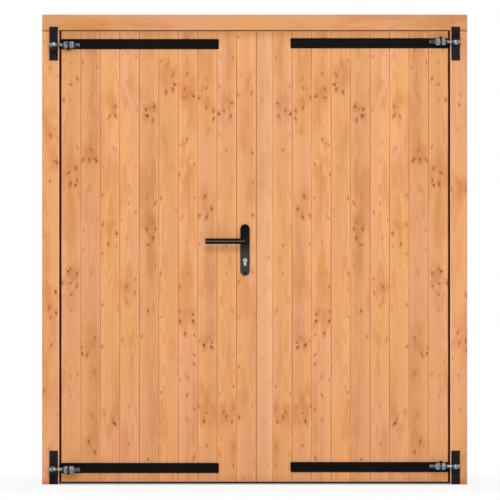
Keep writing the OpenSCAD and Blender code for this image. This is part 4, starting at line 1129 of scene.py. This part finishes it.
def wood_screw(head, length):
    """A countersunk screw of this head's width, with its point along X."""
    radius = head / 2
    shank = head / 4
    cone = radius - shank
    piece = turned("wood_screw", (
        (0.0, radius - screw_rim), (screw_rim, radius), (cone + screw_rim, shank), (0.45 * length, shank),
        (0.46 * length, 0.8 * shank), (length - 2 * shank, 0.8 * shank), (length, 0.05 * shank),
    ), 32)
    for roll in (math.pi / 4, -math.pi / 4):
        combine(piece, blade("blade", 0.9 * cone, 1.15 * radius, 0.26 * radius, roll))
    return piece


def socketed(piece, place, deep, flats):
    """Cuts a hexagon socket from a face at this place to this depth along X."""
    past = 0.001 if deep > 0 else -0.001
    corner = flats / math.sqrt(3)
    first, last = sorted((place - past, place + deep))
    combine(piece, turned("socket", ((first, corner), (last, corner)), sides=6))


def through_leaf(master, name, boxes, body, node):
    """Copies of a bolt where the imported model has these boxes, heads to the front."""
    for number, (low, high) in enumerate(boxes, 1):
        place = (low + high) / 2
        place.y = low.y
        turn = (0, 0, math.pi / 2)
        placed(master, f"{name}_{number}", place, turn, body, strap_black, node)
    print(node, len(boxes), "copies")


# %% Put the wood screws in
cross_screws = (
    ("pin_plate_screws", "frame", plate_black, "black_coated_steel", (0, 1)),
    ("slide_bolt_screws", "right_leaf", strap_black, "black_coated_steel", (0, -1)),
    ("faceplate_screws", "left_leaf", zinc, "zinc_plated_steel", (-1, 0)),
    ("strike_plate_screws", "right_leaf", zinc, "zinc_plated_steel", (1, 0)),
)
for node, body, finish, slot, point in cross_screws:
    axis = 1 if point[1] else 0
    turn = (0, 0, math.atan2(point[1], point[0]))
    boxes = solids(node)
    size = boxes[0][1] - boxes[0][0]
    master = wood_screw(head=size[1 - axis], length=size[axis])
    for number, (low, high) in enumerate(boxes, 1):
        place = (low + high) / 2
        place[axis] = low[axis] if point[axis] > 0 else high[axis]
        placed(master, f"{node}_{number}", place, turn, body, finish, node)
    measured(master)
    bpy.data.objects.remove(master)

# %% The handle's through bolts
bolt_low, bolt_high = solids("handle_plate_bolts")[0]
handle_length = bolt_high.y - bolt_low.y
handle_head = (bolt_high.x - bolt_low.x) / 2
front_head = countersunk(handle_head, shank=0.003)
back_head = [(handle_length - place, radius) for place, radius in reversed(front_head)]
handle_bolt = turned("handle_bolt", front_head + back_head, 40)
socket_depth = 0.0035
for place, deep in ((0.0, socket_depth), (handle_length, -socket_depth)):
    socketed(handle_bolt, place, deep, flats=0.0058)
through_leaf(handle_bolt, "handle_plate_bolt", solids("handle_plate_bolts"), "left_leaf", "handle_plate_bolts")
measured(handle_bolt)
bpy.data.objects.remove(handle_bolt)

# %% The straps' bolts, with a washer and a nut behind the leaf
bolt_low, bolt_high = max(solids("left_strap_bolts"), key=lambda box: box[1].y - box[0].y)
bolt_length = bolt_high.y - bolt_low.y
strap_head = (bolt_high.x - bolt_low.x) / 2
strap_shank = 0.005
bolt_tail = 0.003
tail_pitch = 0.0015
tail_bore = strap_shank + 0.0003
back_nut_depth = 0.008
back_nut_flats = 0.017
back_washer_depth = 0.002
back_washer_radius = 0.011
back_nut_at = bolt_length - bolt_tail - back_nut_depth
back_washer_at = back_nut_at - back_washer_depth
thread_from = back_washer_at - 0.004
strap_sections = countersunk(strap_head, strap_shank)
strap_sections += [(thread_from, strap_shank), (thread_from + 0.0005, strap_shank - 0.001)]
strap_bolt = turned("strap_bolt", strap_sections, 40)
socketed(strap_bolt, 0.0, 0.004, flats=0.006)
strap_bolt = joined(
    "strap_bolt", strap_bolt,
    threaded("tail", thread_from, bolt_length, strap_shank, strap_shank - 0.0009, tail_pitch, 16),
    washer("back_washer", back_washer_at, back_washer_depth, back_washer_radius, tail_bore),
    nut("back_nut", back_nut_at, back_nut_depth, back_nut_flats, tail_bore),
)
for word in ("left", "right"):
    node = word + "_strap_bolts"
    long_ones = [box for box in solids(node) if box[1].y - box[0].y > 0.9 * bolt_length]
    through_leaf(strap_bolt, word + "_strap_bolt", long_ones, word + "_leaf", node)
measured(strap_bolt)
bpy.data.objects.remove(strap_bolt)

# %% [markdown]
# ## The latch spring
# The spring behind the latch bolt is wound from round wire, and its end turns lie close so that it stands flat.
# It is wound in three runs whose open ends merge.

# %% Wind the spring
spring_low, spring_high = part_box("latch_spring")
spring_wire = 0.0012
spring_turns = 7
spring_length = spring_high.x - spring_low.x
coil_radius = (spring_high.z - spring_low.z - spring_wire) / 2
close_pitch = 1.05 * spring_wire
open_pitch = (spring_length - spring_wire - 2 * close_pitch) / (spring_turns - 2)
runs = []
run_from = spring_low.x + spring_wire / 2
for pitch, turns in ((close_pitch, 1), (open_pitch, spring_turns - 2), (close_pitch, 1)):
    profile = start(
        bpy.ops.mesh.primitive_circle_add, "run", vertices=12, radius=spring_wire / 2, fill_type="NOTHING",
        location=(run_from, coil_radius, 0),
    )
    runs.append(wound(profile, pitch, turns, 28))
    run_from += pitch * turns
spring = joined("pressed_latch_spring", *runs)
alone(spring)
edit_all()
bpy.ops.mesh.remove_doubles(threshold=0.00001)
bpy.ops.mesh.fill_holes(sides=0)
settle(closed(spring, 50), (0, (spring_low.y + spring_high.y) / 2, (spring_low.z + spring_high.z) / 2))
spring.data.materials.append(zinc)
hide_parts("latch_spring")
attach(spring, "left_leaf")
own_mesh(spring)

# %% [markdown]
# ## The last measure
# Dressing the gate must not change its size, so both boxes are written side by side before the lesson ends.

# %% Measure and finish
boxes = {"cad": [list(corner) for corner in cad_box], "visual": [list(corner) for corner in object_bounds()]}
print("sizes", boxes)
